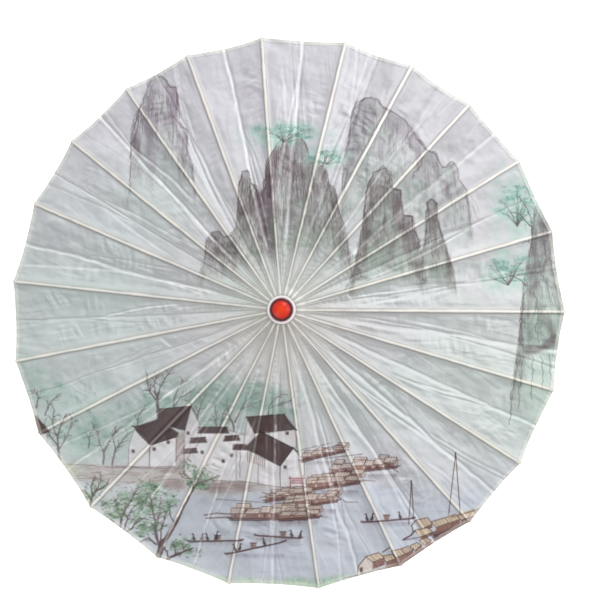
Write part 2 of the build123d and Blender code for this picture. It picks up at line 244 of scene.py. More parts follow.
def mountain(ridge, base_y, top, low, seed, alpha=0.75, dark=0.5, strokes=60, ink=INK, mist=0.45):
    """A karst peak. ridge runs from its left foot over the top to its right foot."""
    r = np.random.default_rng(seed)
    p = np.asarray(ridge, float)
    body = list(map(tuple, p)) + [(p[-1, 0] + 2, base_y + 8), (p[0, 0] - 2, base_y + 8)]
    box, m = poly_mask(body, 0.5)
    x, y = XX[box], YY[box]
    grid = np.arange(p[:, 0].min() - 1, p[:, 0].max() + 1, 1.0)
    crest = np.full(len(grid), base_y, float)
    for (x0, y0), (x1, y1) in zip(p[:-1], p[1:]):
        lo, hi = min(x0, x1), max(x0, x1)
        for i, gx in enumerate(grid):
            if lo - 0.6 <= gx <= hi + 0.6:
                yy = y0 if abs(x1 - x0) < 1e-6 else y0 + (y1 - y0) * min(max((gx - x0) / (x1 - x0), 0), 1)
                crest[i] = min(crest[i], yy)
    crest_y = np.interp(x, grid, crest)
    t = np.clip((y - crest_y) / np.maximum(base_y - crest_y, 8), 0, 1)
    height = (base_y - y) / max(base_y - p[:, 1].min(), 1)
    fade = 1 - smooth(mist, 1.0, t + (N_BROAD[box] - 0.5) * 0.5 + (N_GRAIN[box] - 0.5) * 0.2)
    fade = fade * smooth(-0.02, 0.35, height + (N_GRAIN[box] - 0.5) * 0.3)
    grain = 0.68 + 0.9 * (N_GRAIN[box] - 0.5) + 0.7 * (N_STREAK[box] - 0.5) + 0.9 * (N_BROAD[box] - 0.5)
    colour = np.asarray(top)[None, None] * (1 - t[..., None]) + np.asarray(low)[None, None] * t[..., None]
    lay(box, m * fade * np.clip(grain + 0.2, 0.1, 1.1), colour, alpha)
    # green moss in blots
    lay(box, m * fade * smooth(0.52, 0.72, N_GRAIN[box] + 0.5 * (N_BROAD[box] - 0.5)), rgb(150, 176, 160), 0.35)
    # dark vertical washes
    streak = smooth(0.56, 0.80, N_STREAK[box] + 0.3 * (N_GRAIN[box] - 0.5)) * (1 - 0.7 * t)
    lay(box, m * fade * streak, ink, dark * 0.46)
    rim = np.clip(blur(m, 1.6 * S), 0, 1)
    side = smooth(0.95, 0.5, rim) * smooth(0.35, 0.65, N_GRAIN[box] + 0.35 * (N_STREAK[box] - 0.5))
    lay(box, m * fade * side * (1 - 0.6 * t), ink, dark * 0.32)

    def depth_at(q):
        c = np.interp(q[0], grid, crest)
        return (q[1] - c) / max(base_y - c, 10), (base_y - q[1]) / max(base_y - p[:, 1].min(), 1)

    # contour in broken thin lines, gone over three times
    for again in range(3):
        line = wobble(p + r.normal(0, 0.7, p.shape), 0.5, 2.6, r)
        i = 0
        while i < len(line) - 2:
            n = int(r.integers(3, 10))
            part = line[i : i + n + 1]
            if r.random() < 0.72 and len(part) > 1:
                hgt = (base_y - part[:, 1].mean()) / max(base_y - p[:, 1].min(), 1)
                if hgt > 0.08:
                    stroke(part, r.uniform(0.65, 1.25), ink, min((0.42 + 0.62 * dark) * min(hgt * 1.7, 1), 0.95), (1, 0.6), 0.2)
            i += n
    # split rock: jagged lines that run down the face, with ledges
    for _ in range(strokes):
        gx = r.uniform(grid[0] + 1, grid[-1] - 1)
        cy = np.interp(gx, grid, crest)
        if base_y - cy < 12:
            continue
        y0 = cy + abs(r.normal(0, 0.34)) * (base_y - cy)
        d, hgt = depth_at((gx, y0))
        if d > 0.85 or hgt < 0.1:
            continue
        lean = (gx - (grid[0] + grid[-1]) / 2) / (grid[-1] - grid[0]) * 0.35
        pts, qx, qy = [(gx, y0)], gx, y0
        for _ in range(int(r.integers(2, 6))):
            run = r.uniform(2.5, 7)
            qx, qy = qx + lean * run + r.normal(0, 0.55), qy + run
            pts.append((qx, min(qy, base_y)))
            if r.random() < 0.22:
                qx += r.choice([-1, 1]) * r.uniform(1, 2.8)
                qy += r.uniform(-0.4, 0.8)
                pts.append((qx, min(qy, base_y)))
        stroke(pts, r.uniform(0.55, 1.15), ink, r.uniform(0.24, 0.78) * (1 - 0.7 * d) * (0.45 + 0.8 * dark) * min(hgt * 1.6, 1), (1, 0.4), 0.35)
    # facets of the rock, darker on their shaded side
    for _ in range(strokes // 2):
        gx = r.uniform(grid[0] + 2, grid[-1] - 2)
        cy = np.interp(gx, grid, crest)
        y0 = cy + abs(r.normal(0, 0.42)) * (base_y - cy)
        d, hgt = depth_at((gx, y0))
        if hgt < 0.12 or d > 0.9:
            continue
        w, h = r.uniform(2.0, 6.5), r.uniform(7, 24)
        k = r.uniform(-1.5, 1.5)
        quad = [(gx - w / 2, y0 + r.uniform(0, 3)), (gx + w * 0.1, y0 - r.uniform(0, 2)), (gx + w / 2, y0 + r.uniform(0, 4)), (gx + w / 2 + k, y0 + h), (gx + k, y0 + h * r.uniform(0.8, 1.2)), (gx - w / 3 + k, y0 + h * 0.8)]
        if np.interp(gx - w / 2, grid, crest) > quad[0][1] + 1 or np.interp(gx + w / 2, grid, crest) > quad[2][1] + 1:
            continue
        tone = ink if r.random() < 0.72 else rgb(204, 212, 206)
        poly(quad, tone, r.uniform(0.14, 0.46) * (1 - 0.7 * d) * (0.35 + dark) * min(hgt * 1.6, 1), 0.7, 0.55, 4)
        if r.random() < 0.6:
            stroke(wobble(quad[2:4] if r.random() < 0.5 else quad[:1] + quad[4:5], 0.5, 3, r), 0.55, ink, 0.5 * (1 - 0.7 * d) * min(hgt * 1.6, 1), (1, 0.4), 0.3)
    # hatching on the ledges
    for _ in range(strokes // 3):
        gx = r.uniform(grid[0] + 2, grid[-1] - 2)
        cy = np.interp(gx, grid, crest)
        y0 = cy + r.uniform(0.05, 0.6) * (base_y - cy)
        d, hgt = depth_at((gx, y0))
        if hgt < 0.15:
            continue
        for j in range(int(r.integers(3, 7))):
            o = j * r.uniform(0.9, 1.4)
            stroke([(gx + o, y0 + r.normal(0, 0.5)), (gx + o + r.normal(0, 0.6), y0 + r.uniform(2, 6))], 0.5, ink, r.uniform(0.15, 0.45) * (1 - 0.6 * d) * (0.5 + dark))


def pine(x, y, w, h, seed, n=26):
    """A pine on a crag: flat clumps of blue-green needles on bent dark branches."""
    r = np.random.default_rng(seed)
    teal, deep = rgb(134, 184, 172), rgb(86, 134, 124)
    clumps = [(x + r.uniform(-0.5, 0.5) * w, y + r.uniform(-0.5, 0.5) * h) for _ in range(n)]
    dab(x, y, w * 0.78, h * 0.85, rgb(176, 210, 198), 0.8, 0.9, 0.6)
    for cx, cy in clumps:
        dab(cx, cy, r.uniform(3, 6.5), r.uniform(1.4, 2.8), teal, r.uniform(0.18, 0.42), 0.6, 0.7)
    for cx, cy in clumps:
        if r.random() < 0.5:
            mid = ((cx + x) / 2 + r.normal(0, 1.2), (cy + y + h * 0.4) / 2 + r.normal(0, 1.2))
            stroke(wobble([(x, y + h * 0.5), mid, (cx, cy)], 0.3, 3, r), 0.8, BARK, 0.55, (1, 0.4), 0.2)
    for cx, cy in clumps:
        for _ in range(7):
            a = r.uniform(-2.9, -0.25)
            px, py = cx + r.normal(0, 2.4), cy + r.normal(0, 1.0)
            stroke([(px, py), (px + 2.2 * math.cos(a), py + 1.5 * math.sin(a))], 0.45, deep, r.uniform(0.25, 0.6))


ROOF, ROOF_DARK, WALL, LINE = rgb(74, 53, 54), rgb(46, 32, 34), rgb(230, 228, 231), rgb(78, 60, 62)


def roof(pts, seed, lines=9):
    """Tiled roof, its first two points along the ridge and its last two along the eaves, right to left."""
    r = np.random.default_rng(seed)
    p = np.asarray(pts, float)
    poly(p, ROOF, 0.93, 0.3, 0.12)
    a, b, c, d = p[0], p[1], p[-2], p[-1]
    for i in range(lines + 1):
        f = (i + 0.5) / (lines + 1)
        top, low = a + (b - a) * f, d + (c - d) * f
        stroke([top, (top + low) / 2 + r.normal(0, 0.3, 2), low], 0.5, ROOF_DARK, 0.45, dry=0.3)
    stroke([a, (a + b) / 2, b], 1.0, ROOF_DARK, 0.9)
    stroke(wobble([d, c], 0.25, 3, r), 0.9, ROOF_DARK, 0.8)


def wall(pts, shade=0.0, alpha=0.92):
    poly(pts, WALL * (1 - shade), alpha, 0.3, 0.03)
    p = np.asarray(pts, float)
    stroke(np.vstack([p, p[:1]]), 0.55, LINE, 0.62, dry=0.3)


def window(x, y, w=3.0, h=3.6):
    poly([(x - w / 2, y - h / 2), (x + w / 2, y - h / 2 + 0.4), (x + w / 2, y + h / 2), (x - w / 2, y + h / 2 - 0.3)], rgb(64, 46, 47), 0.92, 0.3)
    stroke([(x, y - h / 2), (x, y + h / 2)], 0.35, rgb(150, 135, 132), 0.45)


def reflection(x0, x1, y, depth, alpha, seed, colour=None):
    r = np.random.default_rng(seed)
    colour = rgb(124, 112, 122) if colour is None else colour
    box = crop(x0 - 2, y - 1, x1 + 2, y + depth + 2)
    m = smooth(0, 2, XX[box] - x0 + 1) * smooth(0, 2, x1 + 1 - XX[box]) * smooth(depth, 0, YY[box] - y) * smooth(-1, 0.6, YY[box] - y)
    lay(box, m * (0.35 + 1.1 * (N_STREAK[box] - 0.2)), colour, alpha)


def cabin(p, w, h, skew, r, tint, dark, wall_tone):
    """One plank cabin: p is the left foot of its wall. The roof leans back to the right by skew."""
    p = np.asarray(p, float)
    q = p + (w, r.uniform(-0.8, 0.3))
    eave_p, eave_q = p + (-0.8, -h * 0.42), q + (0.9, -h * 0.42)
    ridge_p, ridge_q = eave_p + (skew, -h * 0.55), eave_q + (skew * 0.75, -h * 0.52)
    poly([p + (0, -h * 0.45), q + (0, -h * 0.45), q, p], wall_tone * r.uniform(0.9, 1.08), 0.92, 0.3, 0.12)
    for s in np.linspace(0.08, 0.92, max(int(w / 1.7), 2)):
        o = p + (q - p) * s
        stroke([o + (0, -h * 0.42), o], 0.4, dark, r.uniform(0.25, 0.65))
    if w > 6 and r.random() < 0.6:
        o = p + (q - p) * r.uniform(0.25, 0.7)
        poly([o + (-1.0, -h * 0.36), o + (1.0, -h * 0.36), o + (1.0, -0.5), o + (-1.0, -0.5)], dark, 0.7, 0.3)
    gable = [eave_q, ridge_q, eave_q + (1.6 + skew * 0.5, h * 0.02), q + (1.2 + skew * 0.4, -0.6), q]
    poly(gable, tint * 0.93, 0.9, 0.3, 0.05)
    stroke(gable, 0.55, dark, 0.7, dry=0.2)
    poly([ridge_p, ridge_q, eave_q, eave_p], tint * r.uniform(0.95, 1.06), 0.95, 0.25, 0.08)
    for s in np.linspace(0.18, 0.82, max(int(w / 2.6), 2)):
        stroke([ridge_p + (ridge_q - ridge_p) * s, eave_p + (eave_q - eave_p) * s], 0.35, dark, 0.32)
    mid0, mid1 = (ridge_p + eave_p) / 2, (ridge_q + eave_q) / 2
    stroke([mid0, mid1], 0.35, dark, 0.28)
    stroke([eave_p, ridge_p, ridge_q, eave_q, eave_p], 0.62, dark, 0.8, dry=0.15)
    stroke([p, q], 0.6, dark, 0.7)


def cabins(x0, y0, x1, y1, height, n, seed, tint=None, wall_tone=None):
    """A moored row of plank cabins on a raft that runs from (x0, y0) to (x1, y1)."""
    r = np.random.default_rng(seed)
    tint = rgb(212, 197, 187) if tint is None else tint
    wall_tone = rgb(156, 120, 110) if wall_tone is None else wall_tone
    dark = rgb(76, 48, 48)
    a, b = np.array([x0, y0], float), np.array([x1, y1], float)
    reflection(min(x0, x1), max(x0, x1), max(y0, y1) + 1.2, height * 0.7, 0.55, seed + 5)
    back = [(i + r.uniform(0.1, 0.5)) / n for i in range(n)]
    for f in back:                                   # a row behind, half hidden
        if r.random() < 0.6:
            o = a + (b - a) * f
            cabin(o + (0, -height * 0.45), (x1 - x0) / n * r.uniform(0.7, 1.0), height * 0.7, r.uniform(1, 3), r, tint * 0.97, dark, wall_tone)
    edges = np.linspace(0, 1, n + 1) + np.r_[0, r.normal(0, 0.12 / n, n - 1), 0]
    for i in range(n):
        p = a + (b - a) * edges[i]
        w = (x1 - x0) * (edges[i + 1] - edges[i]) * r.uniform(0.82, 1.0)
        cabin(p, w, height * r.uniform(0.72, 1.05), r.uniform(1.0, 3.6), r, tint, dark, wall_tone)
    poly([a + (-2.5, 0.2), b + (3, -0.2), b + (1, 1.9), a + (-1, 2.1)], rgb(116, 86, 84), 0.85, 0.35, 0.1)
    stroke(wobble([a + (-3.5, 0.2), b + (4.5, -0.6)], 0.18, 4, r), 0.8, dark, 0.85, dry=0.15)
    stroke(wobble([a + (-1, 2.1), b + (1, 1.9)], 0.18, 4, r), 0.9, rgb(66, 42, 46), 0.8, dry=0.15)
    for _ in range(2):                               # mooring poles
        o = a + (b - a) * r.uniform(0, 1)
        l = r.uniform(9, 20)
        stroke([o + (-l / 2, -height * 0.5 + r.uniform(-2, 3)), o + (l / 2, -height * 0.7 + r.uniform(-3, 3))], 0.6, dark, 0.7)


def bird(x, y, size, facing, seed):
    """A small dark water bird, sitting upright."""
    c = rgb(58, 40, 46)
    f = facing * size
    poly([(x - f * 0.34, y + size * 0.46), (x - f * 0.26, y + size * 0.05), (x - f * 0.02, y - size * 0.26), (x + f * 0.20, y - size * 0.20), (x + f * 0.24, y + size * 0.12), (x + f * 0.04, y + size * 0.44)], c, 0.94, 0.35)
    stroke([(x + f * 0.10, y - size * 0.16), (x + f * 0.06, y - size * 0.48), (x + f * 0.20, y - size * 0.76)], 1.15, c, 0.94, (1.2, 0.9))
    stroke([(x + f * 0.16, y - size * 0.76), (x + f * 0.48, y - size * 0.70)], 0.8, c, 0.9, (1.3, 0.5))


def raft(x0, y0, x1, y1, birds, basket, seed):
    c = rgb(104, 78, 80)
    a, b = np.array([x0, y0], float), np.array([x1, y1], float)
    reflection(min(x0, x1) + 2, max(x0, x1) - 2, max(y0, y1), 6, 0.4, seed)
    r = np.random.default_rng(seed)
    stroke(wobble([a + (0, -0.6), a + (b - a) * 0.12 + (0, 0.3), a + (b - a) * 0.9 + (0, 0.3), b + (0, -0.8)], 0.12, 5, r), 1.9, c, 0.85, dry=0.2)
    stroke(wobble([a + (1, 0.5), b + (-1, 0.4)], 0.1, 5, r), 0.7, rgb(62, 44, 50), 0.8)
    if basket is not None:
        o = a + (b - a) * basket
        poly([o + (-3.2, -5.2), o + (3.2, -5.2), o + (2.5, -0.6), o + (-2.5, -0.6)], rgb(146, 118, 112), 0.9, 0.35, 0.1)
        stroke([o + (-3.3, -5.2), o + (3.3, -5.2)], 0.9, rgb(72, 52, 54), 0.85)
        for s in (-1.6, 0, 1.6):
            stroke([o + (s, -5), o + (s * 0.8, -0.8)], 0.4, rgb(84, 62, 62), 0.6)
    for i, (f, size) in enumerate(birds):
        o = a + (b - a) * f
        bird(o[0], o[1] - size * 0.55, size, 1 if i % 2 else -1, seed + i)


# ---- ground of the cloth ------------------------------------------------------------------
upper, left, right, middle = rgb(209, 209, 215), rgb(194, 203, 202), rgb(211, 216, 219), rgb(207, 210, 211)
art[:] = upper
wl = smooth(300, 40, XX + (N_BROAD - 0.5) * 120) * smooth(120, 260, YY)
lay((slice(0, W), slice(0, W)), wl, left, 0.8)
wr = smooth(330, 520, XX + (N_BROAD - 0.5) * 120) * smooth(200, 330, YY)
lay((slice(0, W), slice(0, W)), wr, right, 0.8)
lay((slice(0, W), slice(0, W)), smooth(130, 20, np.hypot(XX - 285, YY - 320)), rgb(215, 215, 210), 0.6)
dab(415, 112, 84, 60, rgb(194, 195, 198), 0.75, 0.95, 0.3)
# pale green haze: left above the trees, right half below the middle, under the peaks
for hx, hy, rx, ry, a in ((90, 300, 90, 60, 0.35), (470, 380, 90, 80, 0.42), (540, 420, 60, 60, 0.45), (390, 270, 110, 40, 0.35), (250, 290, 70, 35, 0.35), (160, 200, 60, 40, 0.28), (350, 400, 80, 50, 0.3)):
    dab(hx, hy, rx, ry, rgb(190, 212, 203), a, 0.95, 0.35)
for hx, hy, rx, ry, a in ((250, 90, 110, 40, 0.3), (440, 110, 90, 50, 0.25), (60, 250, 40, 50, 0.2)):
    dab(hx, hy, rx, ry, rgb(214, 206, 216), a, 0.95, 0.35)

dab(500, 330, 110, 190, rgb(206, 195, 182), 0.16, 0.95, 0.2)
dab(400, 520, 90, 60, rgb(206, 197, 186), 0.16, 0.95, 0.2)

# ---- far peaks ------------------------------------------------------------------------------
mountain([(126, 212), (129, 188), (131, 160), (131, 132), (136, 120), (140, 104), (146, 90), (150, 80), (157, 75), (165, 78), (168, 87), (176, 86), (178, 104), (175, 118), (181, 126), (187, 130), (188, 150), (192, 162), (194, 186), (196, 210)],
         212, rgb(166, 166, 170), rgb(190, 203, 197), 101, 0.56, 0.44, 130, rgb(108, 90, 100), 0.55)
poly([(146, 92), (153, 80), (157, 110), (154, 160), (148, 190), (146, 140)], rgb(140, 124, 142), 0.34, 2.2, 0.4, 8)
poly([(166, 86), (177, 86), (178, 108), (172, 122), (167, 104)], rgb(136, 116, 136), 0.42, 1.3, 0.4, 6)
mountain([(340, 260), (341, 215), (343, 170), (348, 140), (351, 118), (356, 103), (365, 98), (377, 98), (384, 108), (393, 114), (405, 121), (411, 130), (419, 141), (426, 150), (436, 153), (441, 166), (446, 167), (450, 161), (456, 164), (459, 180), (466, 190), (470, 214), (472, 240)],
         262, rgb(158, 162, 162), rgb(182, 198, 190), 102, 0.62, 0.38, 150, rgb(104, 88, 96), 0.6)
poly([(347, 150), (352, 112), (358, 101), (374, 98), (378, 112), (364, 132), (354, 168), (346, 190)], rgb(140, 126, 142), 0.34, 2.4, 0.4, 8)
poly([(384, 108), (407, 121), (426, 150), (418, 152), (398, 134), (384, 122)], rgb(130, 118, 132), 0.36, 1.6, 0.4, 6)
for k, (a, b) in enumerate((((384, 107), (405, 120)), ((405, 121), (427, 150)), ((412, 178), (427, 150)), ((351, 112), (366, 98)))):
    stroke(wobble([a, b], 0.8, 3, np.random.default_rng(300 + k)), 0.9, INK, 0.55, dry=0.3)

# ---- middle massif ----------------------------------------------------------------------------
mountain([(198, 278), (204, 262), (206, 240), (212, 233), (219, 231), (224, 238), (230, 235), (236, 226), (238, 206), (238, 188), (243, 171), (248, 170), (251, 183), (257, 188), (261, 196), (265, 184), (267, 164), (272, 150), (280, 140), (290, 134), (300, 136), (306, 146), (311, 162), (318, 163), (325, 168), (329, 185), (335, 190), (338, 210), (344, 225), (347, 242), (350, 262), (352, 280)],
         288, rgb(148, 150, 147), rgb(152, 166, 156), 103, 0.74, 0.54, 340, rgb(84, 66, 70), 0.72)
for pts, a in (([(256, 192), (262, 192), (268, 170), (272, 152), (278, 142), (276, 170), (272, 200), (272, 232), (276, 262), (268, 258), (262, 236), (256, 214)], 0.62), ([(278, 144), (290, 136), (298, 150), (292, 172), (286, 184), (280, 168)], 0.42),
               ([(288, 184), (298, 188), (296, 232), (290, 226)], 0.3), ([(306, 190), (314, 196), (316, 232), (308, 224)], 0.22)):
    poly(pts, rgb(88, 68, 80), 0.72 * a, 1.6, 0.6, 6)
for pts, a in (([(255, 188), (263, 192), (266, 226), (262, 258), (256, 240)], 0.5), ([(268, 160), (274, 148), (276, 190), (270, 222), (264, 200)], 0.4),
               ([(290, 136), (302, 140), (308, 160), (304, 196), (296, 170)], 0.26), ([(312, 164), (324, 168), (330, 190), (322, 204), (314, 186)], 0.24),
               ([(239, 176), (248, 172), (249, 200), (243, 218)], 0.36), ([(206, 240), (218, 232), (224, 246), (214, 262)], 0.3), ([(228, 236), (238, 230), (240, 262), (230, 268)], 0.34),
               ([(332, 214), (340, 216), (345, 240), (338, 252)], 0.3)):
    poly(pts, rgb(104, 88, 98), 0.55 * a, 1.8, 0.6, 6)

# ---- near peaks on the right --------------------------------------------------------------------
mountain([(344, 292), (352, 276), (357, 256), (362, 230), (366, 200), (369, 181), (374, 172), (383, 167), (389, 172), (392, 188), (400, 190), (401, 205), (404, 215), (412, 216), (413, 228), (418, 240), (421, 255), (424, 243), (426, 220), (428, 202), (431, 199), (436, 203), (438, 220), (442, 235), (447, 250), (453, 270), (456, 292)],
         300, rgb(144, 147, 143), rgb(146, 160, 151), 104, 0.84, 0.64, 280, rgb(86, 68, 72), 0.86)
for pts, a in (([(369, 181), (383, 168), (391, 188), (384, 200), (370, 196)], 0.42), ([(388, 190), (400, 191), (403, 214), (412, 217), (420, 252), (408, 246), (396, 222)], 0.44),
               ([(364, 214), (370, 200), (370, 236), (362, 262)], 0.34), ([(427, 206), (433, 200), (436, 226), (430, 246)], 0.34), ([(386, 250), (396, 236), (392, 262), (384, 276)], 0.3)):
    poly(pts, rgb(104, 90, 98), 0.6 * a, 1.8, 0.6, 6)

# ---- cliff at the right rim ----------------------------------------------------------------------
mountain([(508, 420), (512, 392), (516, 360), (520, 330), (523, 296), (526, 262), (531, 248), (533, 224), (536, 206), (541, 200), (548, 205), (554, 216), (559, 234), (563, 262), (566, 300), (568, 345), (566, 380)],
         420, rgb(144, 152, 147), rgb(178, 202, 189), 105, 0.76, 0.66, 190, rgb(86, 72, 76), 0.55)
r_cliff = np.random.default_rng(77)
for _ in range(46):
    x, y = r_cliff.uniform(524, 560), r_cliff.uniform(215, 375)
    a = r_cliff.uniform(0, 2 * math.pi)
    pts = [(x, y)]
    for _ in range(4):
        a += r_cliff.normal(0, 0.7)
        pts.append((pts[-1][0] + 3 * math.cos(a) * 0.7, pts[-1][1] + 3 * math.sin(a)))
    stroke(pts, 0.8, rgb(90, 80, 86), r_cliff.uniform(0.2, 0.55), dry=0.3)
poly([(532, 230), (545, 204), (556, 222), (548, 262), (536, 282), (530, 262)], rgb(104, 96, 102), 0.34, 1.8, 0.45, 6)
dab(548, 330, 22, 60, rgb(182, 216, 198), 0.3, 0.9, 0.4)
dab(540, 385, 24, 40, rgb(176, 206, 188), 0.34, 0.8, 0.5)
poly([(521, 348), (531, 344), (540, 346), (550, 336), (557, 334), (560, 350), (556, 346), (546, 349), (536, 353), (524, 354)], rgb(82, 70, 72), 0.55, 1.0, 0.5, 4)
poly([(545, 312), (551, 318), (557, 336), (552, 342), (547, 328), (541, 318)], rgb(96, 84, 84), 0.42, 1.4, 0.5, 4)
for pts in ([(533, 236), (528, 262), (526, 290), (522, 318), (521, 348)], [(520, 348), (516, 372), (512, 396), (509, 424)], [(530, 238), (536, 262), (534, 290), (538, 312)], [(544, 240), (546, 258), (541, 274), (548, 286), (550, 300)],
            [(524, 356), (520, 380), (518, 410)], [(532, 356), (532, 376), (530, 398)], [(541, 356), (543, 368), (541, 388)], [(549, 354), (550, 370), (552, 384)], [(530, 262), (538, 260), (541, 274)], [(553, 244), (549, 252), (554, 268)], [(538, 316), (536, 328), (539, 344)]):
    stroke(wobble(pts, 0.9, 3, r_cliff), 0.9, rgb(84, 72, 74), 0.5, dry=0.45)
poly([(526, 262), (533, 244), (541, 256), (540, 286), (530, 292)], rgb(88, 78, 82), 0.40, 1.4, 0.6, 4)

# ---- pines ----------------------------------------------------------------------------------------
pine(283, 134, 56, 16, 21, 30)
pine(326, 157, 30, 14, 22, 16)
pine(517, 204, 36, 44, 23, 34)
pine(508, 271, 38, 28, 24, 26)
for x, y, w, h, n in ((283, 131, 50, 12, 54), (326, 155, 27, 10, 30), (517, 203, 32, 38, 60), (508, 270, 34, 24, 44)):
    for _ in range(n):
        a, q = r_cliff.uniform(0, 2 * math.pi), math.sqrt(r_cliff.random())
        px, py = x + 0.5 * w * q * math.cos(a), y + 0.5 * h * q * math.sin(a)
        stroke([(px, py), (px + r_cliff.uniform(-2.6, 2.6), py + r_cliff.uniform(-1.0, 1.0))], r_cliff.uniform(0.5, 1.0), (rgb(58, 84, 80), rgb(84, 66, 66))[int(r_cliff.integers(0, 2))], r_cliff.uniform(0.25, 0.6), (1, 0.5), 0.2)
for pts in ([(532, 240), (531, 218), (526, 206), (518, 196)], [(530, 226), (520, 214), (510, 212)], [(526, 285), (518, 278), (505, 274)], [(280, 150), (284, 140), (276, 134)], [(322, 166), (325, 158), (334, 154)]):
    stroke(wobble(pts, 0.4, 3, np.random.default_rng(int(pts[0][0]))), 1.2, BARK, 0.75, (1, 0.5), 0.2)

# ---- green woods behind the village -----------------------------------------------------------------
r_wood = np.random.default_rng(5)
for _ in range(150):
    x = r_wood.uniform(22, 300)
    top = np.interp(x, [22, 60, 110, 160, 210, 260, 300], [352, 372, 380, 366, 382, 380, 398])
    y = r_wood.uniform(top, min(top + 74, 462))
    near = smooth(0, 60, y - top)
    dab(x, y, r_wood.uniform(8, 22), r_wood.uniform(7, 15), rgb(158, 185, 174) * r_wood.uniform(0.92, 1.10), 0.10 + 0.15 * float(near), 0.95, 0.75)
poly([(20, 372), (60, 384), (128, 392), (134, 430), (128, 464), (60, 462), (40, 440)], rgb(154, 182, 170), 0.16, 7, 0.9, 20)
for _ in range(60):
    x = r_wood.uniform(24, 290)
    y = r_wood.uniform(np.interp(x, [22, 60, 110, 160, 210, 260, 300], [366, 386, 396, 382, 396, 392, 408]), 458)
    dab(x, y, r_wood.uniform(5, 13), r_wood.uniform(4, 9), rgb(202, 212, 209), r_wood.uniform(0.06, 0.18), 0.9, 0.8)
    dab(x + 9, y + 5, r_wood.uniform(4, 10), r_wood.uniform(3, 7), rgb(128, 164, 150), r_wood.uniform(0.06, 0.20), 0.9, 0.9)
for _ in range(260):
    x = r_wood.uniform(24, 298)
    top = np.interp(x, [22, 60, 110, 160, 210, 260, 300], [362, 380, 392, 378, 394, 388, 404])
    y = r_wood.uniform(top, min(top + 60, 460))
    dab(x, y, r_wood.uniform(1.2, 4), r_wood.uniform(1, 3), rgb(112, 148, 134) * r_wood.uniform(0.85, 1.15), r_wood.uniform(0.1, 0.34), 0.6, 0.9)
def limb(pts, w0, w1, colour, alpha, seed, twigs=0, twig_len=8.0):
    r = np.random.default_rng(seed)
    line = wobble(pts, 0.28, 3.0, r)
    stroke(line, w0, colour, alpha, (1, w1 / w0), 0.18)
    for _ in range(twigs):
        i = int(r.integers(len(line) // 3, len(line)))
        d = line[i] - line[max(i - 1, 0)]
        a = math.atan2(-d[1], d[0]) + r.choice([-1, 1]) * r.uniform(0.35, 0.95)
        x, y = line[i]
        l = twig_len * r.uniform(0.4, 1.0)
        out = [(x, y)]
        for _ in range(3):
            a += r.normal(0, 0.2)
            x, y = x + math.cos(a) * l / 3, y - math.sin(a) * l / 3
            out.append((x, y))
        stroke(out, max(w1, 0.6), colour, alpha * 0.85, (1, 0.45), 0.2)
        if r.random() < 0.6:
            b = a + r.choice([-1, 1]) * 0.6
            stroke([out[2], (out[2][0] + math.cos(b) * l * 0.4, out[2][1] - math.sin(b) * l * 0.4)], 0.5, colour, alpha * 0.8, (1, 0.5))


grove = rgb(88, 72, 76)
for i, (pts, w0, w1, tw) in enumerate((
    ([(158, 415), (157, 404), (158, 393)], 3.0, 2.4, 0), ([(158, 402), (151, 394), (147, 384), (147, 375)], 1.8, 0.8, 7), ([(158, 395), (161, 386), (166, 377), (170, 371)], 1.8, 0.7, 7),
    ([(157, 398), (154, 386), (156, 376)], 1.2, 0.6, 4), ([(173, 410), (174, 398), (178, 389), (183, 382)], 1.6, 0.7, 7), ([(174, 406), (180, 398), (188, 393), (196, 387)], 1.3, 0.6, 5),
    ([(197, 425), (198, 412), (202, 402), (206, 393)], 1.6, 0.7, 6), ([(197, 416), (192, 408), (189, 400)], 1.2, 0.6, 4), ([(216, 427), (216, 414), (214, 404)], 1.5, 0.7, 6), ([(220, 427), (223, 414), (229, 405)], 1.3, 0.6, 5),
    ([(235, 434), (232, 422), (228, 412), (226, 403)], 2.0, 0.8, 6), ([(235, 422), (240, 410), (246, 401), (256, 393)], 2.0, 0.8, 8), ([(240, 410), (250, 405), (260, 402)], 1.2, 0.6, 4),
    ([(268, 414), (269, 405), (274, 399), (283, 394)], 1.5, 0.7, 6), ([(270, 408), (280, 404), (292, 400)], 1.2, 0.6, 5),
    ([(60, 462), (58, 447), (57, 436), (61, 424), (66, 414)], 2.4, 0.8, 9), ([(58, 446), (50, 436), (44, 424)], 1.5, 0.7, 7), ([(58, 450), (66, 438), (72, 424)], 1.4, 0.7, 7), ([(57, 436), (52, 424), (54, 410)], 1.1, 0.6, 5),
    ([(103, 464), (104, 452), (109, 441), (116, 430)], 1.7, 0.7, 7), ([(112, 465), (115, 450), (122, 440), (130, 432)], 1.7, 0.7, 7), ([(104, 452), (99, 442), (98, 432)], 1.1, 0.6, 5), ([(115, 450), (113, 438), (116, 426)], 1.1, 0.6, 5),
    ([(36, 408), (38, 398), (34, 388)], 1.3, 0.6, 5), ([(45, 415), (50, 402), (58, 394)], 1.3, 0.6, 5), ([(88, 448), (90, 434), (96, 424)], 1.1, 0.6, 6), ([(137, 428), (138, 416), (144, 408)], 1.2, 0.6, 4))):
    limb(pts, w0, w1, grove, 0.80, 400 + i, tw + 3, 9.0)

dab(222, 396, 62, 26, rgb(138, 170, 158), 0.55, 0.95, 0.7)
dab(262, 402, 40, 18, rgb(138, 170, 158), 0.4, 0.95, 0.7)

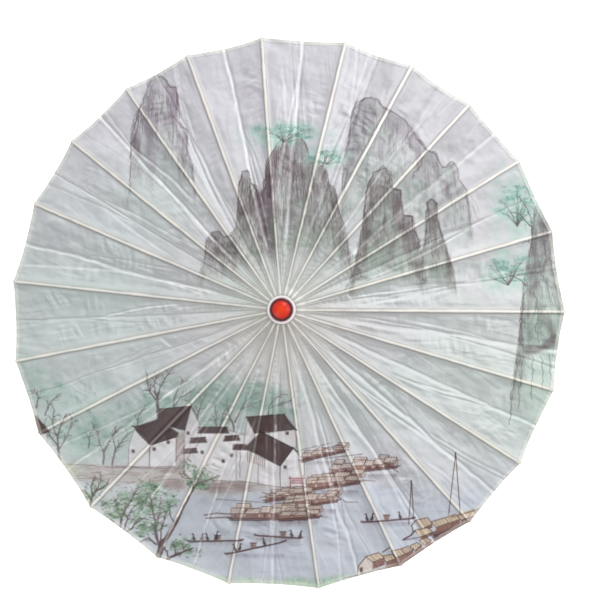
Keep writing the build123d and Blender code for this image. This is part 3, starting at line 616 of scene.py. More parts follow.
# ---- bank -----------------------------------------------------------------------------------------
poly([(58, 462), (100, 465), (150, 466), (200, 470), (300, 484), (306, 492), (262, 488), (236, 494), (205, 494), (182, 490), (160, 484), (120, 482), (70, 480)], rgb(190, 180, 176), 0.6, 1.6, 0.5, 6)
r_bank = np.random.default_rng(9)
for _ in range(110):
    x, y = r_bank.uniform(64, 262), r_bank.uniform(465, 491)
    n = r_bank.uniform(8, 26)
    if y > 484 and x < 170:
        continue
    stroke(wobble([(x, y), (x + n / 2, y - r_bank.uniform(-1.5, 2)), (x + n, y + r_bank.uniform(-1, 1))], 0.3, 4, r_bank), r_bank.uniform(0.5, 1.9), rgb(124, 100, 98) * r_bank.uniform(0.85, 1.25), r_bank.uniform(0.15, 0.5), (1, 0.4), 0.5)
for pts in ([(164, 482), (178, 478), (186, 486), (176, 491), (160, 486)], [(206, 488), (222, 480), (244, 482), (256, 488), (236, 494), (210, 494)], [(150, 466), (170, 461), (184, 466), (172, 472)]):
    poly(pts, rgb(126, 102, 100), 0.42, 1.4, 0.7, 4)
for pts in ([(66, 464), (120, 467), (150, 466)], [(70, 478), (98, 478), (108, 483)], [(112, 468), (140, 468), (184, 468)]):
    stroke(wobble(pts, 0.5, 5, r_bank), 0.8, rgb(112, 90, 90), 0.6, dry=0.4)

# ---- village ----------------------------------------------------------------------------------------
wall([(184, 438), (200, 432), (228, 430), (247, 436), (247, 482), (184, 478)])
wall([(185, 428), (191, 407), (200, 425), (201, 440), (184, 462), (180, 462)], 0.05)
wall([(134, 429), (150, 445), (149, 467), (128, 466), (129, 445)], 0.03)
wall([(150, 445), (176, 437), (176, 466), (149, 467)])
poly([(176, 438), (185, 430), (185, 462), (176, 466)], rgb(178, 162, 160), 0.8, 0.4, 0.1)
roof([(159, 409), (191, 406), (185, 430), (156, 423)], 61, 10)
roof([(158, 420), (134, 427), (150, 444), (178, 434)], 62, 1)
poly([(134, 427), (158, 419), (179, 433), (176, 437), (150, 444.5)], ROOF, 0.93, 0.3, 0.12)
for f in np.linspace(0.05, 0.95, 11):
    a = np.array([134, 427]) + (np.array([158, 419]) - np.array([134, 427])) * f
    b = np.array([150, 444.5]) + (np.array([178, 436]) - np.array([150, 444.5])) * f
    stroke([a, b], 0.5, ROOF_DARK, 0.45, dry=0.3)
stroke([(132, 426), (146, 426.5), (158, 419)], 1.1, ROOF_DARK, 0.9)
stroke([(134, 427), (142, 437), (150, 445), (178, 436)], 0.9, ROOF_DARK, 0.85)
for x0, y0, x1, y1, h in ((199, 427, 227, 427, 6), (191, 438, 205, 437, 5), (184, 449, 196, 448, 4.5), (225, 436, 238, 435, 5)):
    poly([(x0, y0), (x1, y1), (x1 + 2, y1 + h), (x0 - 2, y0 + h)], ROOF, 0.95, 0.3, 0.1)
    stroke([(x0 - 0.5, y0), (x1 + 0.5, y1)], 0.8, ROOF_DARK, 0.9)
    stroke([(x0 - 2, y0 + h), (x1 + 2, y1 + h)], 0.7, ROOF_DARK, 0.8)
wall([(247, 420), (243, 446), (240, 450), (262, 436), (272, 434)], 0.02)
wall([(262, 434), (284, 430), (296, 430), (296, 448), (288, 446)], 0.03)
wall([(236, 450), (247, 450), (280, 466), (280, 487), (236, 480)], 0.02)
wall([(280, 465), (293, 448), (304, 461), (304, 486), (280, 487)])
roof([(246, 417), (284, 414), (296, 429), (254, 433)], 63, 13)
stroke([(284, 414), (288, 423), (297, 430)], 1.0, ROOF_DARK, 0.85)
roof([(260, 432), (293, 448), (280, 465), (245, 447)], 64, 14)
poly([(233, 444), (246, 444), (248, 450), (232, 450)], ROOF, 0.95, 0.3)
stroke([(260, 431), (293, 448), (298, 452)], 1.1, ROOF_DARK, 0.9)
stroke([(244, 447.5), (262, 456), (280, 466), (293, 448)], 0.9, ROOF_DARK, 0.85)
for i in range(9):
    x = 247.5 + i * 2.1
    stroke([(x, 452 + i * 0.95), (x, 461 + i * 0.75)], 0.7, rgb(122, 84, 78), 0.7)
for x, y in ((133, 451), (154, 449), (168, 442), (188, 433), (202, 452), (223, 461), (231, 455), (285, 467), (287, 433)):
    window(x, y)
for x0, y0, x1, y1 in ((240, 452, 240, 478), (258, 464, 258, 484), (280, 466, 280, 487), (184, 440, 184, 476), (149, 446, 149, 466), (176, 438, 176, 465)):
    stroke(wobble([(x0, y0), (x1, y1)], 0.2, 4, r_bank), 0.6, LINE, 0.7)
red = rgb(150, 62, 66)
for pts in ([(290, 476), (290, 487)], [(303, 475), (303, 487)], [(288.5, 478), (304.5, 478)], [(290, 483), (303, 483)]):
    stroke(pts, 0.9, red, 0.85)
poly([(291, 479), (302, 479), (302, 482), (291, 482)], red, 0.45, 0.3)
roof([(35, 416), (37, 417), (49, 431), (39, 434)], 65, 4)
poly([(35, 415), (49, 431), (38, 435)], ROOF, 0.9, 0.4, 0.1)
wall([(41, 434), (47, 433), (47, 446), (43, 444)], 0.06, 0.7)

# ---- water -------------------------------------------------------------------------------------------
water = smooth(486, 500, YY + (N_GRAIN - 0.5) * 6 + smooth(330, 250, XX) * -2) * smooth(120, 190, XX + (YY - 500) * 0.9)
water = np.maximum(water, smooth(455, 500, YY) * smooth(300, 350, XX) * 0.85)
lay((slice(0, W), slice(0, W)), water * (0.75 + 0.5 * (N_WATER - 0.5)), rgb(194, 202, 215), 0.8)
lay((slice(0, W), slice(0, W)), water * smooth(0.62, 0.8, N_WATER), rgb(176, 186, 204), 0.35)

# ---- moored cabins ---------------------------------------------------------------------------------------
far_tint = rgb(216, 204, 198)
cabins(302, 460, 344, 450, 8, 4, 71, far_tint)
stroke([(300, 450), (330, 443)], 0.7, LINE, 0.6)
cabins(330, 473, 396, 466, 12, 6, 72, far_tint)
stroke([(326, 458), (362, 454)], 0.8, LINE, 0.7)
stroke([(384, 462), (398, 472)], 1.2, rgb(92, 66, 66), 0.7)
cabins(306, 489, 358, 482, 12, 4, 73)
stroke([(346, 484), (362, 480), (375, 481)], 1.4, rgb(92, 66, 66), 0.8, (1, 0.4))
cabins(266, 500, 312, 494, 9, 4, 74)
cabins(284, 508, 336, 500, 12, 5, 75)
stroke([(334, 494), (346, 502), (358, 502)], 1.2, rgb(92, 66, 66), 0.75, (1, 0.4))
cabins(231, 518, 306, 518, 13, 6, 76)
stroke([(204, 515), (216, 513), (232, 514)], 1.3, rgb(92, 66, 66), 0.7)
stroke([(206, 518), (232, 517)], 1.5, rgb(104, 78, 76), 0.75)
stroke([(216, 499), (246, 501), (270, 503)], 0.7, rgb(92, 66, 66), 0.6)
cabins(280, 519, 318, 516, 10, 3, 77)
stroke([(304, 510), (314, 516), (327, 517)], 1.2, rgb(92, 66, 66), 0.75, (1, 0.4))
stroke([(262, 492), (284, 500), (300, 498)], 0.8, rgb(92, 66, 66), 0.6)

# ---- rafts with water birds ---------------------------------------------------------------------------------
raft(187, 541, 243, 540, ((0.12, 5.5), (0.26, 5.5), (0.36, 5.5), (0.52, 7)), 0.55, 81)
raft(254, 535, 302, 538, ((0.78, 5.5), (0.96, 5.5)), 0.6, 82)
raft(225, 554, 286, 541, ((0.16, 6), (0.24, 5.5), (0.64, 6)), 0.46, 83)
raft(361, 522, 415, 518, ((0.11, 6), (0.2, 6), (0.72, 5.5)), 0.47, 84)

# ---- boats at the front right ----------------------------------------------------------------------------------
boat_tint, boat_wall, boat_line = rgb(208, 190, 166), rgb(146, 106, 96), rgb(72, 46, 46)
for (ax, ay), feet in (((455.5, 453.5), ((448.5, 514), (460, 513))), ((411.3, 481.5), ((408.5, 524), (413.5, 518)))):
    for fx, fy in feet:
        stroke([(ax, ay), (fx, fy)], 1.0, rgb(100, 76, 76), 0.85)
    stroke([(ax - 0.4, ay - 1), (ax + 0.2, ay + 3)], 1.5, rgb(88, 62, 64), 0.85)


def boat_roof(a, b, c, d, wall_h, n=4):
    """Roof of a boat cabin, its back edge a-b and front edge d-c, over a plank wall."""
    a, b, c, d = (np.array(v, float) for v in (a, b, c, d))
    poly([d, c, c + (0, wall_h * 0.9), d + (0, wall_h)], boat_wall, 0.95, 0.3, 0.12)
    for f in np.linspace(0.1, 0.9, 5):
        o = d + (c - d) * f
        stroke([o, o + (0, wall_h * 0.92)], 0.45, boat_line, 0.45)
    poly([a, b, c, d], boat_tint * rng.uniform(0.95, 1.04), 0.97, 0.25, 0.08)
    for f in np.linspace(0, 1, n + 1)[1:-1]:
        stroke([a + (b - a) * f, d + (c - d) * f], 0.5, boat_line, 0.5)
    stroke([a, b, c, d, a], 0.75, boat_line, 0.85, dry=0.12)
    stroke([d + (0, wall_h), c + (0, wall_h * 0.9)], 0.8, boat_line, 0.8)


poly([(432, 533), (461, 524), (478, 514), (484, 512), (478, 522), (462, 531), (434, 541)], rgb(92, 62, 66), 0.92, 0.5, 0.1, 4)
boat_roof((456, 515), (474, 510.5), (476, 515), (461, 520), 4.5, 3)
boat_roof((445, 517.5), (455, 514), (460, 519), (449, 523), 7)
boat_roof((431, 521.5), (445, 517.5), (449, 522.5), (436, 527.5), 7.5)
boat_roof((415.6, 520), (427.5, 517.5), (432, 524), (421.5, 529), 3, 3)
stroke([(415.6, 520), (411.5, 525.5), (413, 532), (421, 529)], 1.0, boat_line, 0.85)
boat_roof((415, 530), (428, 527.5), (432.5, 532), (420, 537.5), 2.5, 3)
stroke([(403, 539.5), (411, 535), (414, 531)], 1.5, boat_line, 0.85)
stroke([(404, 540), (420, 537), (436, 531)], 0.8, boat_line, 0.8)
stroke([(451, 516.5), (468, 511.5), (482, 507.5)], 1.4, rgb(176, 150, 122), 0.95)
stroke([(451, 517.5), (468, 512.5), (482, 508.5)], 0.5, boat_line, 0.8)
poly([(354, 575.5), (376, 570), (399, 562), (413, 553), (432, 541), (434, 545), (414, 559), (398, 568), (372, 575), (356, 578)], rgb(140, 104, 96), 0.92, 0.5, 0.1, 4)
boat_roof((419, 540), (426, 537.5), (431, 540), (424.5, 545), 4, 2)
boat_roof((410, 545.5), (416.5, 542.5), (421.5, 545), (415, 550.5), 5, 2)
boat_roof((400, 549), (407.5, 546), (413, 550), (405, 554), 7, 3)
boat_roof((391, 551), (400, 548.8), (405, 554), (396, 557.5), 7, 3)
boat_roof((382, 556), (392, 554), (396, 558.5), (386, 562), 6, 3)
poly([(366, 556.5), (358, 566), (357, 573), (373, 570), (372.5, 562)], rgb(222, 212, 204), 0.95, 0.3)
stroke([(366, 556.5), (358, 566), (357.5, 573)], 0.9, boat_line, 0.85)
poly([(360, 567.5), (362.5, 567), (362.5, 572), (360, 572.3)], boat_line, 0.8, 0.3)
boat_roof((365.5, 556.3), (378.5, 552.5), (384.5, 557.5), (372.5, 562), 7, 3)
stroke([(344, 577.5), (354, 575.8), (376, 572), (399, 564.5), (413, 556), (433, 542.5)], 1.5, rgb(80, 52, 56), 0.92, (0.5, 1.0), 0.1)
stroke([(356, 578.5), (374, 575.5), (399, 568.5), (414, 560)], 1.2, rgb(80, 52, 56), 0.7, dry=0.3)
stroke([(382.5, 552), (389.5, 547.3)], 1.1, boat_line, 0.85)

# the print darkened a little in two soft ellipses, over the village and over the near water
for hx, hy, rx, ry, k in ((195, 438, 135, 78, 0.06), (232, 522, 110, 62, 0.06)):
    art *= (1 - k * smooth(1.0, 0.35, np.hypot((XX - hx) / rx, (YY - hy) / ry)))[..., None].astype(art.dtype)

# ---- trees in front ------------------------------------------------------------------------------------------------
leaf_near = rgb(118, 150, 122)
CLUMPS = ((126, 498, 13, 9), (146, 486, 12, 8), (140, 500, 10, 8), (152, 508, 12, 9), (168, 504, 12, 9), (112, 506, 9, 7), (96, 488, 8, 7), (84, 496, 6, 5), (193, 478, 9, 8), (208, 474, 10, 6), (200, 486, 9, 4), (144, 530, 10, 7), (136, 518, 8, 6),
          (178, 544, 11, 6), (190, 551, 8, 4), (106, 518, 8, 6), (188, 466, 6, 6), (160, 490, 8, 6), (118, 512, 9, 6), (152, 526, 8, 6))
for i, (x, y, rx, ry) in enumerate(CLUMPS):
    for j in range(9):
        dab(x + r_wood.normal(0, rx * 0.5), y + r_wood.normal(0, ry * 0.5), rx * r_wood.uniform(0.25, 0.6), ry * r_wood.uniform(0.25, 0.55), leaf_near * r_wood.uniform(0.88, 1.12), 0.38, 0.7, 0.9)
dark_bark = rgb(84, 62, 64)
for i, (pts, w0, w1, tw, tl) in enumerate((
    ([(157, 560), (160, 550), (162, 541)], 6.4, 5.0, 0, 0), ([(161, 545), (168, 535), (175, 524), (180, 513), (185, 503), (190, 493), (194, 486)], 4.4, 2.4, 0, 0), ([(194, 487), (190, 479), (184, 474)], 1.8, 0.8, 4, 6),
    ([(193, 488), (200, 482), (210, 479), (218, 476)], 1.6, 0.7, 5, 6), ([(193, 487), (196, 476), (203, 468)], 1.3, 0.7, 5, 6), ([(159, 546), (155, 534), (155, 522), (152, 508), (150, 494)], 2.6, 1.1, 8, 10),
    ([(160, 544), (161, 530), (165, 516), (170, 504)], 1.6, 0.8, 7, 8), ([(158, 540), (156, 528), (160, 512), (160, 498)], 1.3, 0.7, 6, 8), ([(175, 524), (170, 516), (169, 508)], 1.4, 0.8, 3, 6), ([(156, 544), (149, 538), (141, 541), (137, 542)], 2.0, 0.9, 4, 7),
    ([(164, 562), (171, 557), (180, 553), (188, 550), (193, 548)], 3.2, 1.2, 4, 6), ([(168, 558), (167, 552), (163, 546)], 1.8, 0.8, 2, 5), ([(175, 555), (175, 548), (173, 542)], 1.3, 0.6, 3, 5), ([(184, 552), (182, 545), (184, 540)], 1.1, 0.6, 3, 5),
    ([(120, 530), (121, 518), (126, 508), (133, 498), (136, 488)], 2.4, 0.9, 8, 9), ([(124, 530), (127, 520), (131, 510), (138, 502)], 1.6, 0.8, 6, 8), ([(122, 520), (117, 510), (116, 500)], 1.4, 0.7, 5, 8), ([(125, 532), (132, 528), (136, 522), (144, 518)], 2.0, 0.9, 5, 7),
    ([(90, 508), (91, 498), (95, 491), (101, 489), (107, 484)], 2.8, 1.2, 5, 7), ([(92, 497), (91, 487), (95, 478)], 1.5, 0.7, 4, 7), ([(91, 500), (85, 492), (80, 489)], 1.3, 0.7, 4, 6), ([(96, 490), (101, 481), (100, 474)], 1.2, 0.6, 4, 6))):
    limb(pts, w0, w1, dark_bark, 0.88, 500 + i, int(tw * 1.5), tl)
# lit side of the leaning trunk
limb([(177, 516), (182, 505), (187, 496), (191, 489)], 2.2, 1.4, rgb(236, 230, 220), 0.8, 560)
limb([(168, 533), (173, 525), (177, 517)], 0.9, 0.7, rgb(206, 188, 182), 0.5, 561)
for i, (x, y, rx, ry) in enumerate(CLUMPS):
    for j in range(58):
        dab(x + r_wood.normal(0, rx * 0.62), y + r_wood.normal(0, ry * 0.6), r_wood.uniform(0.7, 1.8), r_wood.uniform(0.5, 1.2), (rgb(70, 104, 80), rgb(62, 92, 74), rgb(138, 176, 130), rgb(92, 88, 78))[j % 4] * r_wood.uniform(0.85, 1.15), r_wood.uniform(0.3, 0.62), 0.5, 0.8)

# ---- grass along the front rim --------------------------------------------------------------------------------------
box = crop(178, 552, 362, 596)
edge = 583 + 5 * np.sin((XX[box] - 180) / 58) - 12 * smooth(215, 182, XX[box])
m = smooth(-14, 2, YY[box] - edge + (N_GRAIN[box] - 0.5) * 12) * smooth(180, 200, XX[box]) * smooth(362, 336, XX[box])
lay(box, m, rgb(158, 196, 154), 0.7)
r_grass = np.random.default_rng(31)
for _ in range(420):
    x = r_grass.uniform(186, 352)
    y = 583 + 5 * math.sin((x - 180) / 58) - (12 if x < 200 else 0) + r_grass.uniform(-9, 8)
    stroke([(x, y), (x + r_grass.normal(0, 1.3), y - r_grass.uniform(1.5, 5.5))], 0.6, rgb(118, 172, 104) * r_grass.uniform(0.85, 1.2), r_grass.uniform(0.2, 0.6), (1, 0.3))
dab(70, 470, 16, 9, rgb(176, 196, 160), 0.4, 0.9, 0.6)

# printed dye: a little uneven everywhere
art *= (1 + (N_GRAIN - 0.5)[..., None] * 0.030 + (N_FINE - 0.5)[..., None] * 0.022)
art = np.clip(art, 0, 1)


def sample_art(x, y):
    u, v = np.clip(np.asarray(x) * S - 0.5, 0, W - 1.001), np.clip(np.asarray(y) * S - 0.5, 0, W - 1.001)
    i, j = u.astype(int), v.astype(int)
    fu, fv = (u - i)[:, None], (v - j)[:, None]
    return (art[j, i] * (1 - fu) + art[j, i + 1] * fu) * (1 - fv) + (art[j + 1, i] * (1 - fu) + art[j + 1, i + 1] * fu) * fv


def to_linear(c):
    return np.where(c <= 0.04045, c / 12.92, ((c + 0.055) / 1.055) ** 2.4)


# =====================================================================================
# materials
# =====================================================================================
def new_mat(name):
    m = bpy.data.materials.new(name)
    m.use_nodes = True
    nt = m.node_tree
    nt.nodes.clear()
    out = nt.nodes.new("ShaderNodeOutputMaterial")
    b = nt.nodes.new("ShaderNodeBsdfPrincipled")
    nt.links.new(b.outputs["BSDF"], out.inputs["Surface"])
    return m, nt, b, out


def node(nt, kind, inputs=None, **props):
    n = nt.nodes.new(kind)
    for k, v in props.items():
        setattr(n, k, v)
    for k, v in (inputs or {}).items():
        if isinstance(v, bpy.types.NodeSocket):
            nt.links.new(v, n.inputs[k])
        else:
            n.inputs[k].default_value = v
    return n


def math_node(nt, op, a, b=None):
    n = nt.nodes.new("ShaderNodeMath")
    n.operation = op
    for i, v in enumerate((a, b)):
        if v is None:
            continue
        if isinstance(v, bpy.types.NodeSocket):
            nt.links.new(v, n.inputs[i])
        else:
            n.inputs[i].default_value = v
    return n.outputs[0]


def ramp(nt, fac, stops):
    n = nt.nodes.new("ShaderNodeValToRGB")
    nt.links.new(fac, n.inputs["Fac"])
    e = n.color_ramp.elements
    while len(e) < len(stops):
        e.new(0.5)
    for el, (pos, col) in zip(e, stops):
        el.position = pos
        el.color = (*col, 1) if len(col) == 3 else col
    return n.outputs["Color"]


def lin(r, g, b):
    return tuple(float(v) for v in to_linear(np.array([r, g, b]) / 255.0))


def set_bsdf(b, **values):
    for k, v in values.items():
        b.inputs[k.replace("_", " ")].default_value = v


def bump(nt, b, height, strength, distance):
    n = node(nt, "ShaderNodeBump", {"Strength": strength, "Distance": distance, "Height": height})
    nt.links.new(n.outputs["Normal"], b.inputs["Normal"])
    return n


def radial_coords(nt, around, along, high):
    """Noise coordinates for a part that points away from the shaft: around it, along it and up."""
    tc = nt.nodes.new("ShaderNodeTexCoord")
    sep = node(nt, "ShaderNodeSeparateXYZ", {"Vector": tc.outputs["Object"]})
    x, y, z = sep.outputs
    angle = math_node(nt, "ARCTAN2", y, x)
    radius = math_node(nt, "SQRT", math_node(nt, "ADD", math_node(nt, "MULTIPLY", x, x), math_node(nt, "MULTIPLY", y, y)))
    comb = node(nt, "ShaderNodeCombineXYZ", {"X": math_node(nt, "MULTIPLY", angle, around), "Y": math_node(nt, "MULTIPLY", radius, along), "Z": math_node(nt, "MULTIPLY", z, high)})
    return comb.outputs["Vector"], radius, angle


def bamboo(name, pale, mid, dark, rough=0.42):
    m, nt, b, _ = new_mat(name)
    vec, radius, angle = radial_coords(nt, 260.0, 14.0, 260.0)
    fibre = node(nt, "ShaderNodeTexNoise", {"Vector": vec, "Scale": 1.0, "Detail": 5.0, "Roughness": 0.62})
    vec2, _, _ = radial_coords(nt, 30.0, 30.0, 40.0)
    mottle = node(nt, "ShaderNodeTexNoise", {"Vector": vec2, "Scale": 1.0, "Detail": 3.0})
    col = ramp(nt, fibre.outputs["Fac"], [(0.28, dark), (0.5, mid), (0.74, pale)])
    col2 = ramp(nt, mottle.outputs["Fac"], [(0.35, (0.80, 0.78, 0.72)), (0.62, (1, 1, 1))])
    mix = node(nt, "ShaderNodeMix", {0: 0.7, 6: col, 7: col2}, data_type="RGBA", blend_type="MULTIPLY")
    nt.links.new(mix.outputs[2], b.inputs["Base Color"])
    rr = node(nt, "ShaderNodeMapRange", {"Value": fibre.outputs["Fac"], "To Min": rough - 0.08, "To Max": rough + 0.14})
    nt.links.new(rr.outputs["Result"], b.inputs["Roughness"])
    set_bsdf(b, Specular_IOR_Level=0.45, Coat_Weight=0.12, Coat_Roughness=0.3)
    bump(nt, b, fibre.outputs["Fac"], 0.35, 0.0003)
    return m


def wood(name, pale, mid, dark, rough, coat=0.0, grain=(900.0, 900.0, 22.0), detail=6.0):
    m, nt, b, _ = new_mat(name)
    tc = nt.nodes.new("ShaderNodeTexCoord")
    mp = node(nt, "ShaderNodeMapping", {"Vector": tc.outputs["Object"], "Scale": grain})
    fibre = node(nt, "ShaderNodeTexNoise", {"Vector": mp.outputs["Vector"], "Scale": 1.0, "Detail": detail, "Roughness": 0.6, "Distortion": 0.4})
    mp2 = node(nt, "ShaderNodeMapping", {"Vector": tc.outputs["Object"], "Scale": (grain[0] * 0.12, grain[1] * 0.12, grain[2] * 0.35)})
    broad = node(nt, "ShaderNodeTexNoise", {"Vector": mp2.outputs["Vector"], "Scale": 1.0, "Detail": 3.0})
    col = ramp(nt, fibre.outputs["Fac"], [(0.3, dark), (0.5, mid), (0.72, pale)])
    col2 = ramp(nt, broad.outputs["Fac"], [(0.35, (0.74, 0.70, 0.66)), (0.65, (1, 1, 1))])
    mix = node(nt, "ShaderNodeMix", {0: 0.75, 6: col, 7: col2}, data_type="RGBA", blend_type="MULTIPLY")
    nt.links.new(mix.outputs[2], b.inputs["Base Color"])
    rr = node(nt, "ShaderNodeMapRange", {"Value": fibre.outputs["Fac"], "To Min": rough - 0.08, "To Max": rough + 0.12})
    nt.links.new(rr.outputs["Result"], b.inputs["Roughness"])
    set_bsdf(b, Specular_IOR_Level=0.45, Coat_Weight=coat, Coat_Roughness=0.16)
    bump(nt, b, fibre.outputs["Fac"], 0.3, 0.0003)
    return m


def plastic(name, colour, rough, coat, mottle=0.08, scale=260.0):
    m, nt, b, _ = new_mat(name)
    tc = nt.nodes.new("ShaderNodeTexCoord")
    n1 = node(nt, "ShaderNodeTexNoise", {"Vector": tc.outputs["Object"], "Scale": scale, "Detail": 4.0})
    n2 = node(nt, "ShaderNodeTexNoise", {"Vector": tc.outputs["Object"], "Scale": scale * 9, "Detail": 2.0})
    c = np.array(colour)
    col = ramp(nt, n1.outputs["Fac"], [(0.3, tuple(c * (1 - mottle))), (0.7, tuple(np.clip(c * (1 + mottle), 0, 1)))])
    nt.links.new(col, b.inputs["Base Color"])
    rr = node(nt, "ShaderNodeMapRange", {"Value": n1.outputs["Fac"], "To Min": rough * 0.7, "To Max": rough * 1.4})
    nt.links.new(rr.outputs["Result"], b.inputs["Roughness"])
    set_bsdf(b, Specular_IOR_Level=0.5, Coat_Weight=coat, Coat_Roughness=0.08)
    bump(nt, b, n2.outputs["Fac"], 0.12, 0.0002)
    return m


def steel(name):
    m, nt, b, _ = new_mat(name)
    tc = nt.nodes.new("ShaderNodeTexCoord")
    n1 = node(nt, "ShaderNodeTexNoise", {"Vector": tc.outputs["Object"], "Scale": 700.0, "Detail": 5.0})
    col = ramp(nt, n1.outputs["Fac"], [(0.3, (0.42, 0.41, 0.39)), (0.7, (0.66, 0.66, 0.66))])
    nt.links.new(col, b.inputs["Base Color"])
    rr = node(nt, "ShaderNodeMapRange", {"Value": n1.outputs["Fac"], "To Min": 0.22, "To Max": 0.5})
    nt.links.new(rr.outputs["Result"], b.inputs["Roughness"])
    set_bsdf(b, Metallic=1.0)
    bump(nt, b, n1.outputs["Fac"], 0.15, 0.0002)
    return m


def cloth_mat(name):
    """Printed satin, thin enough to let light through."""
    m, nt, b, out = new_mat(name)
    paint = node(nt, "ShaderNodeAttribute", attribute_name="paint")
    flat = node(nt, "ShaderNodeAttribute", attribute_name="cloth")
    warp = node(nt, "ShaderNodeTexWave", {"Vector": flat.outputs["Vector"], "Scale": 0.42, "Distortion": 1.2, "Detail": 2.0, "Detail Scale": 0.6}, bands_direction="X")
    weft = node(nt, "ShaderNodeTexWave", {"Vector": flat.outputs["Vector"], "Scale": 0.38, "Distortion": 1.6, "Detail": 2.0, "Detail Scale": 0.5}, bands_direction="Y")
    slub_map = node(nt, "ShaderNodeMapping", {"Vector": flat.outputs["Vector"], "Scale": (0.02, 0.9, 0.1)})
    slub = node(nt, "ShaderNodeTexNoise", {"Vector": slub_map.outputs["Vector"], "Scale": 1.0, "Detail": 4.0, "Roughness": 0.65})
    weave = math_node(nt, "ADD", math_node(nt, "MULTIPLY", warp.outputs["Fac"], 0.5), math_node(nt, "MULTIPLY", weft.outputs["Fac"], 0.5))
    tone = ramp(nt, slub.outputs["Fac"], [(0.3, (0.945, 0.945, 0.955)), (0.7, (1.0, 1.0, 1.0))])
    mix = node(nt, "ShaderNodeMix", {0: 0.9, 6: paint.outputs["Color"], 7: tone}, data_type="RGBA", blend_type="MULTIPLY")
    nt.links.new(mix.outputs[2], b.inputs["Base Color"])
    rr = node(nt, "ShaderNodeMapRange", {"Value": slub.outputs["Fac"], "To Min": 0.30, "To Max": 0.46})
    nt.links.new(rr.outputs["Result"], b.inputs["Roughness"])
    set_bsdf(b, Specular_IOR_Level=0.5, Sheen_Weight=0.10, Sheen_Roughness=0.4)
    height = math_node(nt, "ADD", weave, math_node(nt, "MULTIPLY", slub.outputs["Fac"], 0.8))
    bn = bump(nt, b, height, 0.22, 0.00012)
    trans = node(nt, "ShaderNodeBsdfTranslucent", {"Color": mix.outputs[2], "Normal": bn.outputs["Normal"]})
    thin = node(nt, "ShaderNodeAttribute", attribute_name="thin")
    share = math_node(nt, "MULTIPLY", thin.outputs["Fac"], 0.30)
    shader = node(nt, "ShaderNodeMixShader", {0: share, 1: b.outputs["BSDF"], 2: trans.outputs["BSDF"]})
    nt.links.new(shader.outputs["Shader"], out.inputs["Surface"])
    return m


MAT_CLOTH = cloth_mat("printed_satin")
MAT_RIB = bamboo("split_bamboo", lin(238, 222, 184), lin(224, 202, 156), lin(190, 160, 112))
MAT_STRETCHER = bamboo("split_bamboo_inner", lin(232, 214, 172), lin(216, 190, 142), lin(176, 144, 98), 0.48)
MAT_SHAFT = wood("shaft_wood", lin(222, 190, 142), lin(198, 160, 108), lin(150, 112, 70), 0.34, 0.3)
MAT_GRIP = wood("grip_wood", lin(206, 168, 118), lin(180, 138, 88), lin(130, 92, 54), 0.3, 0.45, (700.0, 700.0, 18.0))
MAT_HUB = wood("hub_wood", lin(228, 204, 162), lin(208, 180, 132), lin(170, 138, 92), 0.52, 0.0, (380.0, 380.0, 60.0))
def lacquer_dome(name, centre, mid, rim, rough):
    """Red lacquer over the dome, with painted light and shade: lighter at its crown and darkest at its edge, with the
    ring its turning left.
    """
    m, nt, b, _ = new_mat(name)
    tc = nt.nodes.new("ShaderNodeTexCoord")
    sep = node(nt, "ShaderNodeSeparateXYZ", {"Vector": tc.outputs["Object"]})
    x, y, z = sep.outputs
    radius = math_node(nt, "SQRT", math_node(nt, "ADD", math_node(nt, "MULTIPLY", x, x), math_node(nt, "MULTIPLY", y, y)))
    n1 = node(nt, "ShaderNodeTexNoise", {"Vector": tc.outputs["Object"], "Scale": 230.0, "Detail": 4.0})
    share = math_node(nt, "ADD", math_node(nt, "MULTIPLY", radius, 1 / 0.0125), math_node(nt, "MULTIPLY", math_node(nt, "SUBTRACT", n1.outputs["Fac"], 0.5), 0.16))
    # painted light and shade across the dome: light at the crown, dark at the edge
    col = ramp(nt, share, [(0.10, centre), (0.50, mid), (0.56, tuple(v * 0.86 for v in mid)), (0.66, mid), (0.90, rim), (1.0, tuple(v * 0.55 for v in rim))])
    nt.links.new(col, b.inputs["Base Color"])
    rr = node(nt, "ShaderNodeMapRange", {"Value": n1.outputs["Fac"], "To Min": rough * 0.75, "To Max": rough * 1.3})
    nt.links.new(rr.outputs["Result"], b.inputs["Roughness"])
    set_bsdf(b, Specular_IOR_Level=0.35)
    ring = node(nt, "ShaderNodeTexWave", {"Vector": tc.outputs["Object"], "Scale": 90.0, "Distortion": 1.0}, wave_type="RINGS", rings_direction="Z")
    bump(nt, b, math_node(nt, "ADD", math_node(nt, "MULTIPLY", ring.outputs["Fac"], 0.5), n1.outputs["Fac"]), 0.10, 0.0003)
    return m


MAT_WHITE = plastic("white_plastic", lin(250, 243, 247), 0.34, 0.15, 0.03)
# painted shade: the cap's base is the dome's red plastic, given a dark red colour that stands in for the shade on it
MAT_RED_SHADED = plastic("dark_red_plastic", lin(96, 20, 26), 0.26, 0.35, 0.22)
MAT_RED = lacquer_dome("red_plastic", lin(246, 66, 14), lin(232, 52, 22), lin(196, 32, 24), 0.36)
MAT_RED2 = plastic("red_trim_plastic", lin(176, 40, 28), 0.3, 0.3, 0.08)
MAT_STEEL = steel("drawn_steel")

plan = {
    "shaft": MAT_SHAFT, "catch_pin": MAT_STEEL, "catch": MAT_STEEL, "top_hub": MAT_HUB, "top_hub_wire": MAT_STEEL, "top_hub_pin": MAT_GRIP,
    "cap_collar": MAT_WHITE, "cap_base": MAT_RED_SHADED, "cap_dome": MAT_RED, "handle_grip": MAT_GRIP, "handle_pin": MAT_SHAFT,
    "handle_ferrule": MAT_RED2, "handle_end_cap": MAT_RED2, "runner": MAT_HUB, "runner_wire": MAT_STEEL,
}
for name, obj in frame["nodes"].items():
    mat = plan.get(name)
    if mat is None:
        mat = MAT_RIB if name.startswith("rib_") else MAT_STRETCHER if name.startswith("stretcher_") else MAT_CLOTH
    if not obj.data.materials:
        obj.data.materials.append(mat)
    for i in range(len(obj.material_slots)):
        obj.material_slots[i].material = mat

